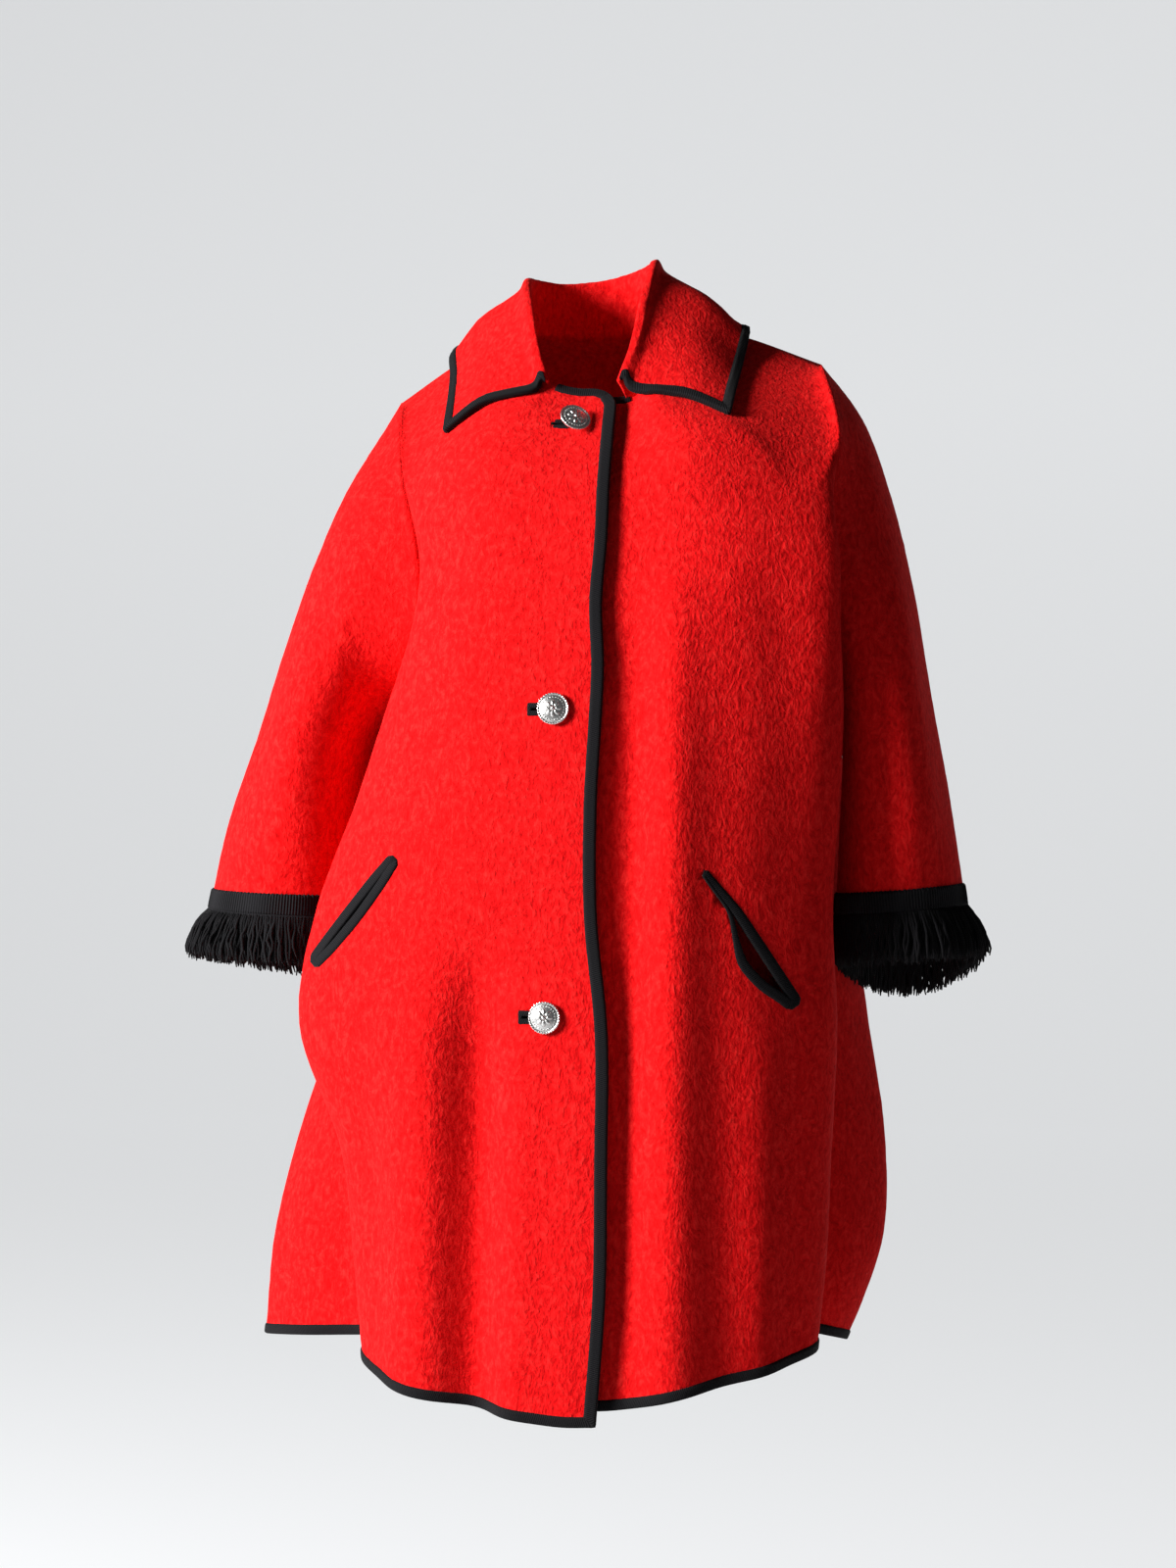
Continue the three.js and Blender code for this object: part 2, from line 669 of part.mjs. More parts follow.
// The point of a panel's face straight behind x and z, with its normal
function faceAt(name, x, z) {
  const grid = grids[name];
  let best = null;
  const test = (corners) => {
    const [a, b, c] = corners.map(([i, j]) => grid[i][j]);
    const area = (b.x - a.x) * (c.z - a.z) - (c.x - a.x) * (b.z - a.z);
    const v = ((x - a.x) * (c.z - a.z) - (c.x - a.x) * (z - a.z)) / area;
    const w = ((b.x - a.x) * (z - a.z) - (x - a.x) * (b.z - a.z)) / area;
    if (!(v >= 0 && w >= 0 && v + w <= 1)) return;
    const blend = (list) => list[0].clone().multiplyScalar(1 - v - w)
      .addScaledVector(list[1], v).addScaledVector(list[2], w);
    const place = blend([a, b, c]);
    if (best && best.place.y < place.y) return;
    best = { place, normal: blend(corners.map(([i, j]) => normals[name][i][j])) };
  };
  for (let i = 0; i < grid.length - 1; i += 1) {
    for (let j = 0; j < grid[0].length - 1; j += 1) {
      test([[i, j], [i, j + 1], [i + 1, j + 1]]);
      test([[i, j], [i + 1, j + 1], [i + 1, j]]);
    }
  }
  return best;
}

// Slanted pockets: the upper inner end and lower outer end of each mouth on the front's face, how
// far the lips gape above and below that line.
const pocketColumns = 'side panel fromX fromZ toX toZ above below';
const pockets = table(pocketColumns, [
  ['right', 'rightFront', -150, -489, -224, -576, 2.6, 2.8],
  ['left', 'leftFront', 129, -499, 200, -605, 3.2, 12],
]);

function mouthFrame(pocket) {
  const from = new THREE.Vector2(pocket.fromX, pocket.fromZ);
  const along = new THREE.Vector2(pocket.toX, pocket.toZ).sub(from);
  const length = along.length();
  along.normalize();
  const below = new THREE.Vector2(along.y, -along.x);
  if (below.y > 0) below.negate();
  return { from, along, below, length };
}

// Outline of a mouth, grown outwards by a margin, as points across the front's face
function mouthOutline(pocket, margin) {
  const { from, along, below, length } = mouthFrame(pocket);
  const reach = length / 2 + margin;
  const points = [];
  for (let k = 0; k < 2 * mouthSteps; k += 1) {
    const angle = (Math.PI * (k + 0.5)) / mouthSteps;
    const s = length / 2 - reach * Math.cos(angle);
    const rise = Math.sin(angle);
    const lip = rise > 0 ? pocket.below + margin : pocket.above + margin;
    const offset = lip * Math.sign(rise) * Math.abs(rise) ** 0.8;
    points.push(from.clone().addScaledVector(along, s).addScaledVector(below, offset));
  }
  return points;
}

// A cutter through a mouth: its outline from above the face to a depth below it, along the normals
function mouthCutter(pocket, depth, margin = 0) {
  const spots = mouthOutline(pocket, margin).map((p) => faceAt(pocket.panel, p.x, p.y));
  const rings = [8, -depth].map((h) => spots.map(({ place, normal }) => {
    return place.clone().addScaledVector(normal, h);
  }));
  const cap = [];
  for (let k = 0; k < mouthSteps - 1; k += 1) {
    const across = 2 * mouthSteps - 1 - k;
    cap.push([k, k + 1, across - 1], [k, across - 1, across]);
  }
  return toSolid(sweep(rings, false, cap));
}

function pocketBinding3d(pocket) {
  const inner = mouthOutline(pocket, 0);
  const outer = mouthOutline(pocket, pocketBinding);
  return clasp(inner.map((p, k) => {
    const edge = faceAt(pocket.panel, p.x, p.y);
    const inside = faceAt(pocket.panel, outer[k].x, outer[k].y);
    return {
      edge: edge.place,
      inside: inside.place,
      edgeNormal: edge.normal,
      insideNormal: inside.normal,
    };
  }), true, 1, pocketClearance);
}

// A shallow bag behind a mouth: a pouch of thin cloth, open where the mouth is
function pocketBagPiece(pocket) {
  const { from, along, below, length } = mouthFrame(pocket);
  const { thick: skin, hollow: room } = pocketBag;
  const front = clothThick + pocketClearance + bindingSkin + pocketBag.behind;
  const layer = (inset, behind, thick) => {
    const grid = [];
    const facing = [];
    for (let i = 0; i <= bagCells; i += 1) {
      const row = [];
      const rowFacing = [];
      for (let j = 0; j <= bagCells; j += 1) {
        const s = mix(-8 + inset, length - 2 - inset, i / bagCells);
        const t = mix(-17 + inset, pocketBag.depth - inset, j / bagCells);
        const spot = from.clone().addScaledVector(along, s).addScaledVector(below, t);
        const { place, normal } = faceAt(pocket.panel, spot.x, spot.y);
        row.push(place.addScaledVector(normal, -behind));
        rowFacing.push(normal);
      }
      grid.push(row);
      facing.push(rowFacing);
    }
    return toSolid(wall(grid, facing, false, thick));
  };
  const outside = layer(0, front, room + 2 * skin);
  const hollow = layer(2, front + skin, room);
  const mouth = mouthCutter(pocket, front + skin + 2, -0.4);
  return fromSolid(outside.subtract(hollow).subtract(mouth));
}

// Buttons on the centre line with their buttonholes, by the place on the right front's face, with
// the turn of each head about its shank and how far that lifts it
const buttonPlaces = table('x z turn lift', [
  [5, -100, 0.42, 5],
  [-3, -355, 0.06, 0.6],
  [-8, -622, 0, 0],
]);

function frameAt(place) {
  const { place: centre, normal } = faceAt('rightFront', place.x, place.z);
  const out = normal.clone().normalize();
  const up = point(0, 0, 1).addScaledVector(out, -out.z).normalize();
  const across = up.clone().cross(out);
  return new THREE.Matrix4().makeBasis(across, up, out).setPosition(centre);
}

function block(width, height, depth, x, z) {
  return new THREE.BoxGeometry(width, height, depth).translate(x, 0, z);
}

function buttonholeWindow(place) {
  const { length, height } = buttonhole;
  const gap = 2 * seamGap;
  const geometry = block(length + gap, height + gap, 30, buttonholeOffset, 0);
  return mergedSolid(geometry.applyMatrix4(frameAt(place)));
}

function buttonholePiece(place) {
  const { length, height, thick, slitLength, slitHeight } = buttonhole;
  const middle = -clothThick / 2;
  const plate = mergedSolid(block(length, height, thick, buttonholeOffset, middle));
  const slit = mergedSolid(block(slitLength, slitHeight, 2 * thick, buttonholeOffset + 1, middle));
  return fromSolid(plate.subtract(slit)).applyMatrix4(frameAt(place));
}

function buttonPiece(place) {
  const { radius, rise, above, shankWide, shankThick } = button;
  const profile = [
    [0, 0],
    [radius - 1.6, 0],
    [radius, 0.9],
    [radius, 2],
    [radius - 0.9, 2.7],
    [radius - 1.9, 2.1],
    [radius - 3, 2.5],
    [radius * 0.55, rise - 0.4],
    [radius * 0.28, rise],
    [0, rise + 0.1],
  ].map(([r, h]) => new THREE.Vector2(r, h));
  const dome = new THREE.LatheGeometry(profile, 16).rotateX(Math.PI / 2);
  dome.rotateY(place.turn).translate(0, 0, above + place.lift);
  const shankFoot = lapDepth - 0.4;
  const shankTop = above + place.lift + 1;
  const shank = block(shankWide, shankThick, shankFoot + shankTop, 0, (shankTop - shankFoot) / 2);
  const whole = mergedSolid(dome).add(mergedSolid(shank));
  return fromSolid(whole).applyMatrix4(frameAt(place));
}

// The fronts with their pocket mouths and buttonholes cut through
function cutFront(name, cutters) {
  const solid = toSolid(wall(grids[name], normals[name]));
  return fromSolid(cutters.reduce((rest, cutter) => rest.subtract(cutter), solid));
}

const [rightPocket, leftPocket] = pockets;
const windows = buttonPlaces.map(buttonholeWindow);
const rightCuts = [mouthCutter(rightPocket, throughCloth), ...windows];
addMesh('right_front', cutFront('rightFront', rightCuts), 'wool');
addMesh('left_front', cutFront('leftFront', [mouthCutter(leftPocket, throughCloth)]), 'wool');
addMesh('back', wall(grids.back, normals.back), 'wool');
addMesh('right_sleeve', wall(grids.rightSleeve, normals.rightSleeve, true), 'wool');
addMesh('left_sleeve', wall(grids.leftSleeve, normals.leftSleeve, true), 'wool');

// Collar stations from its front end round to the middle of the back, as half distances from the
// middle of the neck. The roll is the collar's top, and the edge rests on the shoulders. The left
// half stands higher and closer to the neck.
const collarColumns = 'along rollX rollY rollZ edgeX edgeY edgeZ leftLift leftShift';
const collarStations = table(collarColumns, [
  [0, 31, -82, -59, 133, -94, -93, 0, 0],
  [0.16, 42, -68, -26, 137, -68, -60, 1, -1],
  [0.36, 52, -42, 12, 139, -36, -36, 7, -6],
  [0.53, 60, -2, 42, 138, 0, -18, 13, -11],
  [0.68, 55, 32, 46, 126, 52, -14, 15, -10],
  [0.84, 35, 58, 46, 82, 100, -24, 12, -6],
  [1, 0, 68, 51, 0, 120, -36, 0, 0],
]);

// The neckline from the right end of the collar round the back to its left end
function neckline() {
  const take = (name, columns) => columns.map((j) => {
    const up = grids[name][0][j].clone().sub(grids[name][1][j]).normalize();
    return { place: grids[name][0][j], normal: normals[name][0][j].clone().normalize(), up };
  });
  const all = (name) => grids[name][0].map((_, j) => j);
  const outward = (name) => all(name).filter((j) => {
    const { x } = grids[name][0][j];
    return name === 'rightFront' ? x <= collarStart[name] : x >= collarStart[name];
  });
  const path = [
    ...take('rightFront', outward('rightFront')),
    ...take('back', all('back').slice(1, -1)),
    ...take('leftFront', outward('leftFront').reverse()),
  ];
  let total = 0;
  path.forEach((spot, k) => {
    total += k > 0 ? spot.place.distanceTo(path[k - 1].place) : 0;
    spot.run = total;
  });
  return { path, total };
}

function neckSpot({ path, total }, fraction) {
  const run = fraction * total;
  const next = Math.max(path.findIndex((spot) => spot.run >= run - 1e-6), 1);
  const a = path[next - 1];
  const b = path[next];
  const t = (run - a.run) / (b.run - a.run);
  const blend = (key) => a[key].clone().lerp(b[key], t);
  const normal = blend('normal').normalize();
  const place = blend('place').addScaledVector(blend('up'), neckGap);
  return { place: place.addScaledVector(normal, -clothThick), normal };
}

// Keeps a point of the collar at a distance above the fronts and back
function restOnBody(p, distance, exactly) {
  let nearest = { gap: Infinity };
  const triangle = new THREE.Triangle();
  const spot = point(0, 0, 0);
  for (const name of ['rightFront', 'leftFront', 'back']) {
    const grid = grids[name];
    for (let i = 0; i < tipIndex + 4; i += 1) {
      for (let j = 0; j < grid[0].length - 1; j += 1) {
        const corners = [[i, j], [i, j + 1], [i + 1, j + 1], [i + 1, j]];
        for (const pick of [[0, 1, 2], [0, 2, 3]]) {
          const at = pick.map((k) => corners[k]);
          triangle.set(...at.map(([m, n]) => grid[m][n]));
          triangle.closestPointToPoint(p, spot);
          const gap = spot.distanceTo(p);
          if (gap < nearest.gap) {
            nearest = { gap, spot: spot.clone(), normal: normals[name][at[0][0]][at[0][1]].clone() };
          }
        }
      }
    }
  }
  const normal = nearest.normal.normalize();
  const height = p.clone().sub(nearest.spot).dot(normal);
  if (exactly || height < distance) p.addScaledVector(normal, distance - height);
}

// The collar stands a little higher where it crosses the shoulder seams
function restAt(p) {
  return collarRest + shoulderLift * Math.exp(-(((p.y - 5) / 30) ** 2));
}

function collarGrid() {
  const neck = neckline();
  const half = (side) => collarStations.map((s) => {
    const roll = point(collarMiddle + side * s.rollX, s.rollY, s.rollZ);
    if (side > 0) roll.add(point(s.leftShift, 0, s.leftLift));
    const edge = point(collarMiddle + side * s.edgeX, s.edgeY, s.edgeZ);
    restOnBody(edge, restAt(edge), true);
    const out = point(edge.x - roll.x, edge.y - roll.y, 0).normalize();
    const fraction = side < 0 ? s.along / 2 : 1 - s.along / 2;
    const seam = neckSpot(neck, fraction).place;
    const fallStart = roll.clone().addScaledVector(out, 13).add(point(0, 0, -8));
    const middle = fallStart.clone().lerp(edge, 0.5).addScaledVector(out, 4).add(point(0, 0, 5));
    restOnBody(middle, restAt(middle) + 1, false);
    return [
      seam,
      seam.clone().lerp(roll, 0.65),
      roll,
      roll.clone().addScaledVector(out, 6.5).add(point(0, 0, 2.5)),
      fallStart,
      middle,
      edge,
    ];
  });
  const stations = [...half(-1), ...half(1).reverse().slice(1)];
  const lines = stations[0].map((_, k) => spline(stations.map((s) => s[k])));
  const edgeLine = lines[lines.length - 1];
  const first = collarBindingWidth / edgeLine.getLength();
  const fractions = [0, first, ...evenly(first, 1 - first, collarCells - 2), 1];
  const columns = fractions.map((u) => {
    const t = edgeLine.getUtoTmapping(u);
    return spline(lines.map((line) => line.getPoint(t)));
  });
  const grid = [0, 1, 2, 3, 4, 5, 6, 7, 'edge', 8].map((k) => columns.map((curve) => {
    if (k === 'edge') return curve.getPointAt(1 - collarBindingWidth / curve.getLength());
    if (k === 8) return curve.getPoint(1);
    return curve.getPoint([0, 0.17, 0.32, 0.42, 0.5, 0.59, 0.7, 0.82][k]);
  }));
  grid[0] = fractions.map((u) => neckSpot(neck, edgeLine.getUtoTmapping(u)).place);
  grid.slice(5).forEach((row) => row.forEach((p) => restOnBody(p, restAt(p), false)));
  return { grid, neck, fractions: fractions.map((u) => edgeLine.getUtoTmapping(u)) };
}

const collar = collarGrid();
grids.collar = collar.grid;
normals.collar = gridNormals(grids.collar, 1);
normals.collar[0] = collar.fractions.map((u) => neckSpot(collar.neck, u).normal.negate());
addMesh('collar', wall(grids.collar, normals.collar), 'wool');

function collarBinding() {
  const lastRow = grids.collar.length - 1;
  const lastColumn = grids.collar[0].length - 1;
  const stations = [];
  const firstRow = 6;
  for (let i = firstRow; i < lastRow; i += 1) {
    stations.push(station('collar', [i, 0], [i, 1], true));
  }
  stations.push(station('collar', [lastRow, 0], [lastRow - 1, 1]));
  for (let j = 1; j < lastColumn; j += 1) {
    stations.push(station('collar', [lastRow, j], [lastRow - 1, j]));
  }
  stations.push(station('collar', [lastRow, lastColumn], [lastRow - 1, lastColumn - 1], true));
  for (let i = lastRow - 1; i >= firstRow; i -= 1) {
    stations.push(station('collar', [i, lastColumn], [i, lastColumn - 1], true));
  }
  return clasp(stations);
}

addMesh('collar_binding', collarBinding(), 'binding');
addMesh('right_front_binding', frontBinding('rightFront', 5), 'binding');
addMesh('left_front_binding', frontBinding('leftFront', 6), 'binding');
addMesh('back_hem_binding', backBinding(), 'binding');

for (const pocket of pockets) {
  addMesh(`${pocket.side}_pocket_binding`, pocketBinding3d(pocket), 'binding');
  addMesh(`${pocket.side}_pocket_bag`, pocketBagPiece(pocket), 'wool');
}

buttonPlaces.forEach((place, k) => {
  addMesh(`buttonhole_${k + 1}`, buttonholePiece(place), 'binding');
  addMesh(`button_${k + 1}`, buttonPiece(place), 'silver');
});

// Ribbed braid round the outside of a cuff
function cuffBraid(name) {
  const last = grids[name].length - 1;
  const rows = [last - 1, last];
  const band = rows.map((i) => grids[name][i].map((p, j) => {
    return p.clone().addScaledVector(normals[name][i][j], bindingClearance + braidThick);
  }));
  return wall(band, rows.map((i) => normals[name][i]), true, braidThick);
}

// A repeatable spread between -1 and 1 for the strands of the fringe
function spread(k, salt) {
  const value = Math.sin(k * 12.9898 + salt * 78.233) * 43758.5453;
  return 2 * (value - Math.floor(value)) - 1;
}

// Fringe: a tape below the cuff's edge with yarns hanging from it, flared outwards
function cuffFringe(name) {
  const last = grids[name].length - 1;
  const edge = grids[name][last];
  const before = grids[name][last - 1];
  const facing = normals[name][last];
  const outside = bindingClearance + braidThick - 0.6;
  const thick = outside + clothThick * 0.6;
  const down = edge.map((p, j) => p.clone().sub(before[j]).normalize());
  const tape = [bindingClearance, bindingClearance + stripHeight].map((d) => edge.map((p, j) => {
    return p.clone().addScaledVector(down[j], d).addScaledVector(facing[j], outside);
  }));
  let solid = toSolid(wall(tape, [facing, facing], true, thick));
  const axis = edge.reduce((sum, p) => sum.add(p), point(0, 0, 0)).divideScalar(edge.length);
  const bodySide = -Math.sign(axis.x);
  for (let k = 0; k < fringe.strands; k += 1) {
    const at = ((k + 0.5) / fringe.strands) * edge.length;
    const cell = Math.floor(at);
    const after = (cell + 1) % edge.length;
    const t = at - cell;
    const along = tape[1][after].clone().sub(tape[1][cell]).normalize();
    const outward = facing[cell].clone().lerp(facing[after], t).setZ(0).normalize();
    const hang = point(0, 0, -1);
    const root = tape[1][cell].clone().lerp(tape[1][after], t);
    root.addScaledVector(facing[cell], -thick / 2).addScaledVector(hang, -0.4 * stripHeight);
    const open = 1 - THREE.MathUtils.smoothstep(outward.x * bodySide, -0.2, 0.6);
    const lean = fringe.flare * open * (1 + 0.4 * spread(k, 1));
    const sway = 0.03 * spread(k, 2);
    const way = hang.addScaledVector(outward, lean).addScaledVector(along, sway);
    const length = fringe.length * (1 + 0.08 * spread(k, 3));
    const strand = [[0, 1], [length, 0.85]].map(([d, scale]) => [0, 1, 2].map((corner) => {
      const angle = (2 * Math.PI * corner) / 3;
      return root.clone()
        .addScaledVector(way, d)
        .addScaledVector(outward, fringe.radius * scale * Math.cos(angle))
        .addScaledVector(along, fringe.radius * scale * Math.sin(angle));
    }));
    solid = solid.add(toSolid(sweep(strand, false, [[0, 1, 2]])));
  }
  return fromSolid(solid);
}

for (const side of ['right', 'left']) {
  addMesh(`${side}_cuff_braid`, cuffBraid(`${side}Sleeve`), 'binding');
  addMesh(`${side}_fringe`, cuffFringe(`${side}Sleeve`), 'fringe');
}

export default group;
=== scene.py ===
import bpy
import math
import numpy as np
from mathutils import Matrix, Vector
from mathutils.bvhtree import BVHTree


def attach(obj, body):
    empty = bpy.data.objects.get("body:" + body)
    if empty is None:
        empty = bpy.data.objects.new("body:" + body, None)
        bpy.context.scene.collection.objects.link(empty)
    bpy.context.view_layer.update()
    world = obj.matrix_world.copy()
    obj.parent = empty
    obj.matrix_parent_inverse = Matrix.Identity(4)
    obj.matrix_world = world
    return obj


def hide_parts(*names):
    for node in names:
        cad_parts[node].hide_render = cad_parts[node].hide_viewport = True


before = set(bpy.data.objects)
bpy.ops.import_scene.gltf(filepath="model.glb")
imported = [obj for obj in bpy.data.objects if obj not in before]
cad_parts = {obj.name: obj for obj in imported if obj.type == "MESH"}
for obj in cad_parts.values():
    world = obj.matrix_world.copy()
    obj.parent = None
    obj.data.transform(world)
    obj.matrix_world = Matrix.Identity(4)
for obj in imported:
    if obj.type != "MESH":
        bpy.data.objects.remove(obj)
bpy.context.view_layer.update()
millimetre = 0.001

# Camera first: level, a little round to the wearer's left, far enough for a long lens
camera = {"distance": 3.1, "height": -0.42, "azimuth": 9, "lens": 77.5}


def placeCamera():
    data = bpy.data.cameras.new("camera")
    data.lens = camera["lens"]
    data.sensor_width = 36
    data.clip_end = 30
    thing = bpy.data.objects.new("camera", data)
    turn = math.radians(camera["azimuth"])
    reach = camera["distance"]
    thing.location = (reach * math.sin(turn), -reach * math.cos(turn), camera["height"])
    thing.rotation_euler = (math.pi / 2, 0, turn)
    bpy.context.scene.collection.objects.link(thing)
    bpy.context.scene.camera = thing


placeCamera()
print("camera placed")

# The cut of the coat, in millimetres. Rows run from the neckline to the hem. The centre is on the
# button line, the fold is where a front rolls away, the seam is the shoulder, armhole or side seam.
cut = {
    "cloth": 3.0,
    "nap": 0.45,
    "lapLeft": 32,
    "lapEnd": 54,
    "lapDepth": 7.2,
    "edgeBinding": 9.5,
    "hemBinding": 8,
    "neckBinding": 8,
    "collarBinding": 8.5,
    "cornerRadius": 24,
    "frontFlat": 9,
    "frontRoll": 4,
    "backFlat": 13,
    "backRoll": 4,
    "armholeRows": 10,
    "bodyRows": 10,
}
rightFrontRows = [
    (37, -72, -66, 48, -50, -42, 66, 0, -2),
    (38.5, -108, -108, 86, -76, -76, 118, 5, -28),
    (39, -136, -156, 126, -92, -122, 176, 8, -66),
    (38.5, -148, -206, 130, -108, -170, 158, -72, -140),
    (35.5, -158, -262, 130, -114, -232, 139, -92, -215),
    (38.5, -166, -318, 145, -114, -298, 140, -86, -280),
    (37, -173, -370, 166, -112, -362, 166, -5, -352),
    (34, -179, -440, 193, -110, -437, 164, 0, -430),
    (35, -184, -535, 230, -110, -535, 180, 0, -532),
    (45, -188, -635, 245, -110, -635, 194, -5, -635),
    (45, -191, -750, 207, -108, -748, 180, -12, -748),
    (44, -194, -860, 196, -107, -845, 172, -15, -842),
    (36, -196, -972, 188, -105, -934, 166, -18, -926),
]
leftFrontRows = [
    (0, -72, -66, 62, -50, -42, 82, 0, 0),
    (0, -108, -106, 104, -76, -70, 138, 5, -10),
    (0, -136, -152, 172, -90, -100, 214, 8, -38),
    (0, -148, -204, 214, -104, -150, 237, -70, -108),
    (0, -158, -260, 238, -111, -215, 229, -90, -190),
    (0, -166, -316, 241, -112, -286, 222, -84, -270),
    (0, -173, -368, 241, -111, -355, 206, -5, -345),
    (0, -179, -438, 238, -110, -432, 196, 0, -428),
    (0, -184, -535, 231, -110, -535, 202, 0, -532),
    (0, -188, -635, 235, -110, -635, 205, -5, -635),
    (0, -191, -750, 230, -108, -748, 202, -12, -748),
    (0, -194, -860, 226, -106, -842, 196, -15, -838),
    (0, -196, -958, 218, -104, -918, 190, -18, -912),
]
rightBackRows = [
    (62, -4, 48, 44, -3, 66, 0, -2),
    (88, -28, 86, 70, -28, 118, 5, -28),
    (114, -80, 138, 86, -76, 176, 8, -66),
    (128, -148, 162, 106, -142, 172, 76, -140),
    (136, -220, 174, 115, -216, 166, 96, -215),
    (140, -288, 181, 118, -284, 160, 88, -280),
    (143, -358, 188, 116, -356, 166, -5, -352),
    (147, -434, 204, 114, -432, 164, 0, -430),
    (153, -534, 218, 112, -534, 180, 0, -532),
    (162, -635, 246, 106, -635, 194, -5, -635),
    (172, -748, 288, 86, -748, 180, -12, -748),
    (180, -846, 311, 68, -844, 172, -15, -842),
    (184, -944, 319, 60, -940, 166, -18, -926),
]
leftBackRows = [
    (62, -4, 56, 44, -3, 82, 0, 0),
    (88, -28, 104, 70, -22, 138, 5, -10),
    (114, -80, 176, 86, -56, 214, 8, -38),
    (128, -148, 212, 106, -118, 234, 74, -108),
    (136, -220, 222, 116, -200, 228, 89, -190),
    (140, -288, 222, 119, -280, 218, 86, -270),
    (143, -358, 218, 118, -352, 206, -5, -345),
    (147, -434, 224, 114, -430, 196, 0, -428),
    (153, -534, 230, 114, -534, 202, 0, -532),
    (162, -635, 246, 105, -635, 205, -5, -635),
    (172, -748, 266, 84, -748, 202, -12, -748),
    (180, -846, 264, 66, -842, 196, -15, -838),
    (184, -944, 226, 54, -928, 190, -18, -912),
]
# Sleeve rings from the armhole to the cuff: over x and z, under x and z, depth front and back, drop
# of the back
rightSleeveRings = [
    (176, -66, 166, -352, -92, 96, 0),
    (212, -128, 190, -362, -93, 95, 0),
    (250, -206, 202, -384, -92, 95, 0),
    (281, -290, 209, -414, -90, 96, 2),
    (309, -375, 212, -450, -86, 93, 5),
    (338, -456, 212, -494, -80, 89, 10),
    (357, -536, 211, -542, -74, 84, 18),
]
leftSleeveRings = [
    (214, -38, 206, -345, -90, 90, 0),
    (251, -88, 230, -350, -88, 88, 0),
    (276, -155, 234, -378, -86, 90, 0),
    (297, -240, 234, -411, -84, 91, 4),
    (313, -335, 232, -449, -81, 90, 11),
    (330, -430, 230, -492, -77, 87, 23),
    (345, -529, 228, -538, -72, 84, 38),
]
# Half stations of the collar from its front end to the middle of the back: along, roll, edge, and
# how much higher and closer to the neck the left half's roll is
collarStations = [
    (0, 31, -82, -59, 133, -94, -93, 0, 0),
    (0.16, 42, -68, -26, 137, -68, -60, 1, -1),
    (0.36, 52, -42, 12, 139, -36, -36, 7, -6),
    (0.53, 60, -2, 42, 138, 0, -18, 13, -11),
    (0.68, 55, 32, 46, 126, 52, -14, 15, -10),
    (0.84, 35, 58, 46, 82, 100, -24, 12, -6),
    (1, 0, 68, 51, 0, 120, -36, 0, 0),
]
tipRow, underarmRow, hemRow, lapLevelRow = 2, 6, 12, 6
fine = 5  # cells of the fine grids for each cell of the solids


# Curves and grids, in millimetres
def splineAt(points, t, closed=False):
    points = np.asarray(points, float)
    count = len(points)
    x = np.atleast_1d(np.asarray(t, float)) * (count if closed else count - 1)
    k = np.floor(x).astype(int)
    if not closed:
        k = np.clip(k, 0, count - 2)
    w = (x - k)[:, None]

    def at(i):
        if closed:
            return points[i % count]
        inside = points[np.clip(i, 0, count - 1)]
        before = 2 * points[0] - points[1]
        after = 2 * points[-1] - points[-2]
        inside = np.where((i < 0)[:, None], before, inside)
        return np.where((i > count - 1)[:, None], after, inside)

    p0, p1, p2, p3 = at(k - 1), at(k), at(k + 1), at(k + 2)

    def gap(a, b):
        return np.sqrt(np.maximum(np.linalg.norm(b - a, axis=1), 1e-8))[:, None]

    d0, d1, d2 = gap(p0, p1), gap(p1, p2), gap(p2, p3)
    m1 = ((p1 - p0) / d0 - (p2 - p0) / (d0 + d1) + (p2 - p1) / d1) * d1
    m2 = ((p2 - p1) / d1 - (p3 - p1) / (d1 + d2) + (p3 - p2) / d2) * d1
    c2 = -3 * p1 + 3 * p2 - 2 * m1 - m2
    c3 = 2 * p1 - 2 * p2 + m1 + m2
    return p1 + m1 * w + c2 * w ** 2 + c3 * w ** 3


def arcTable(points, closed=False):
    spans = len(points) if closed else len(points) - 1
    t = np.linspace(0, 1, spans * 24 + 1)
    steps = np.linalg.norm(np.diff(splineAt(points, t, closed), axis=0), axis=1)
    return t, np.concatenate([[0], np.cumsum(steps)])


def shareToT(points, share):
    t, run = arcTable(points)
    return np.interp(np.asarray(share, float) * run[-1], run, t)


def unit(v):
    v = np.asarray(v, float)
    return v / np.maximum(np.linalg.norm(v, axis=-1, keepdims=True), 1e-9)


def refined(values):
    index = np.arange((len(values) - 1) * fine + 1) / fine
    return np.interp(index, np.arange(len(values)), values)


def frontSection(rows, index, side):
    edgeX, centreY, centreZ, foldX, foldY, foldZ, seamX, seamY, seamZ = rows[index]
    middleX = 0.62 * foldX if side < 0 else (cut["lapEnd"] + foldX) / 2
    middle = (
        side * middleX,
        centreY + 0.24 * (foldY - centreY),
        centreZ + 0.45 * (foldZ - centreZ),
    )
    outward = [middle, (side * foldX, foldY, foldZ), (side * seamX, seamY, seamZ)]
    if side < 0:
        return np.array([(edgeX, centreY, centreZ), (0, centreY, centreZ)] + outward, float)
    return np.array(lapPoints(index) + outward, float)


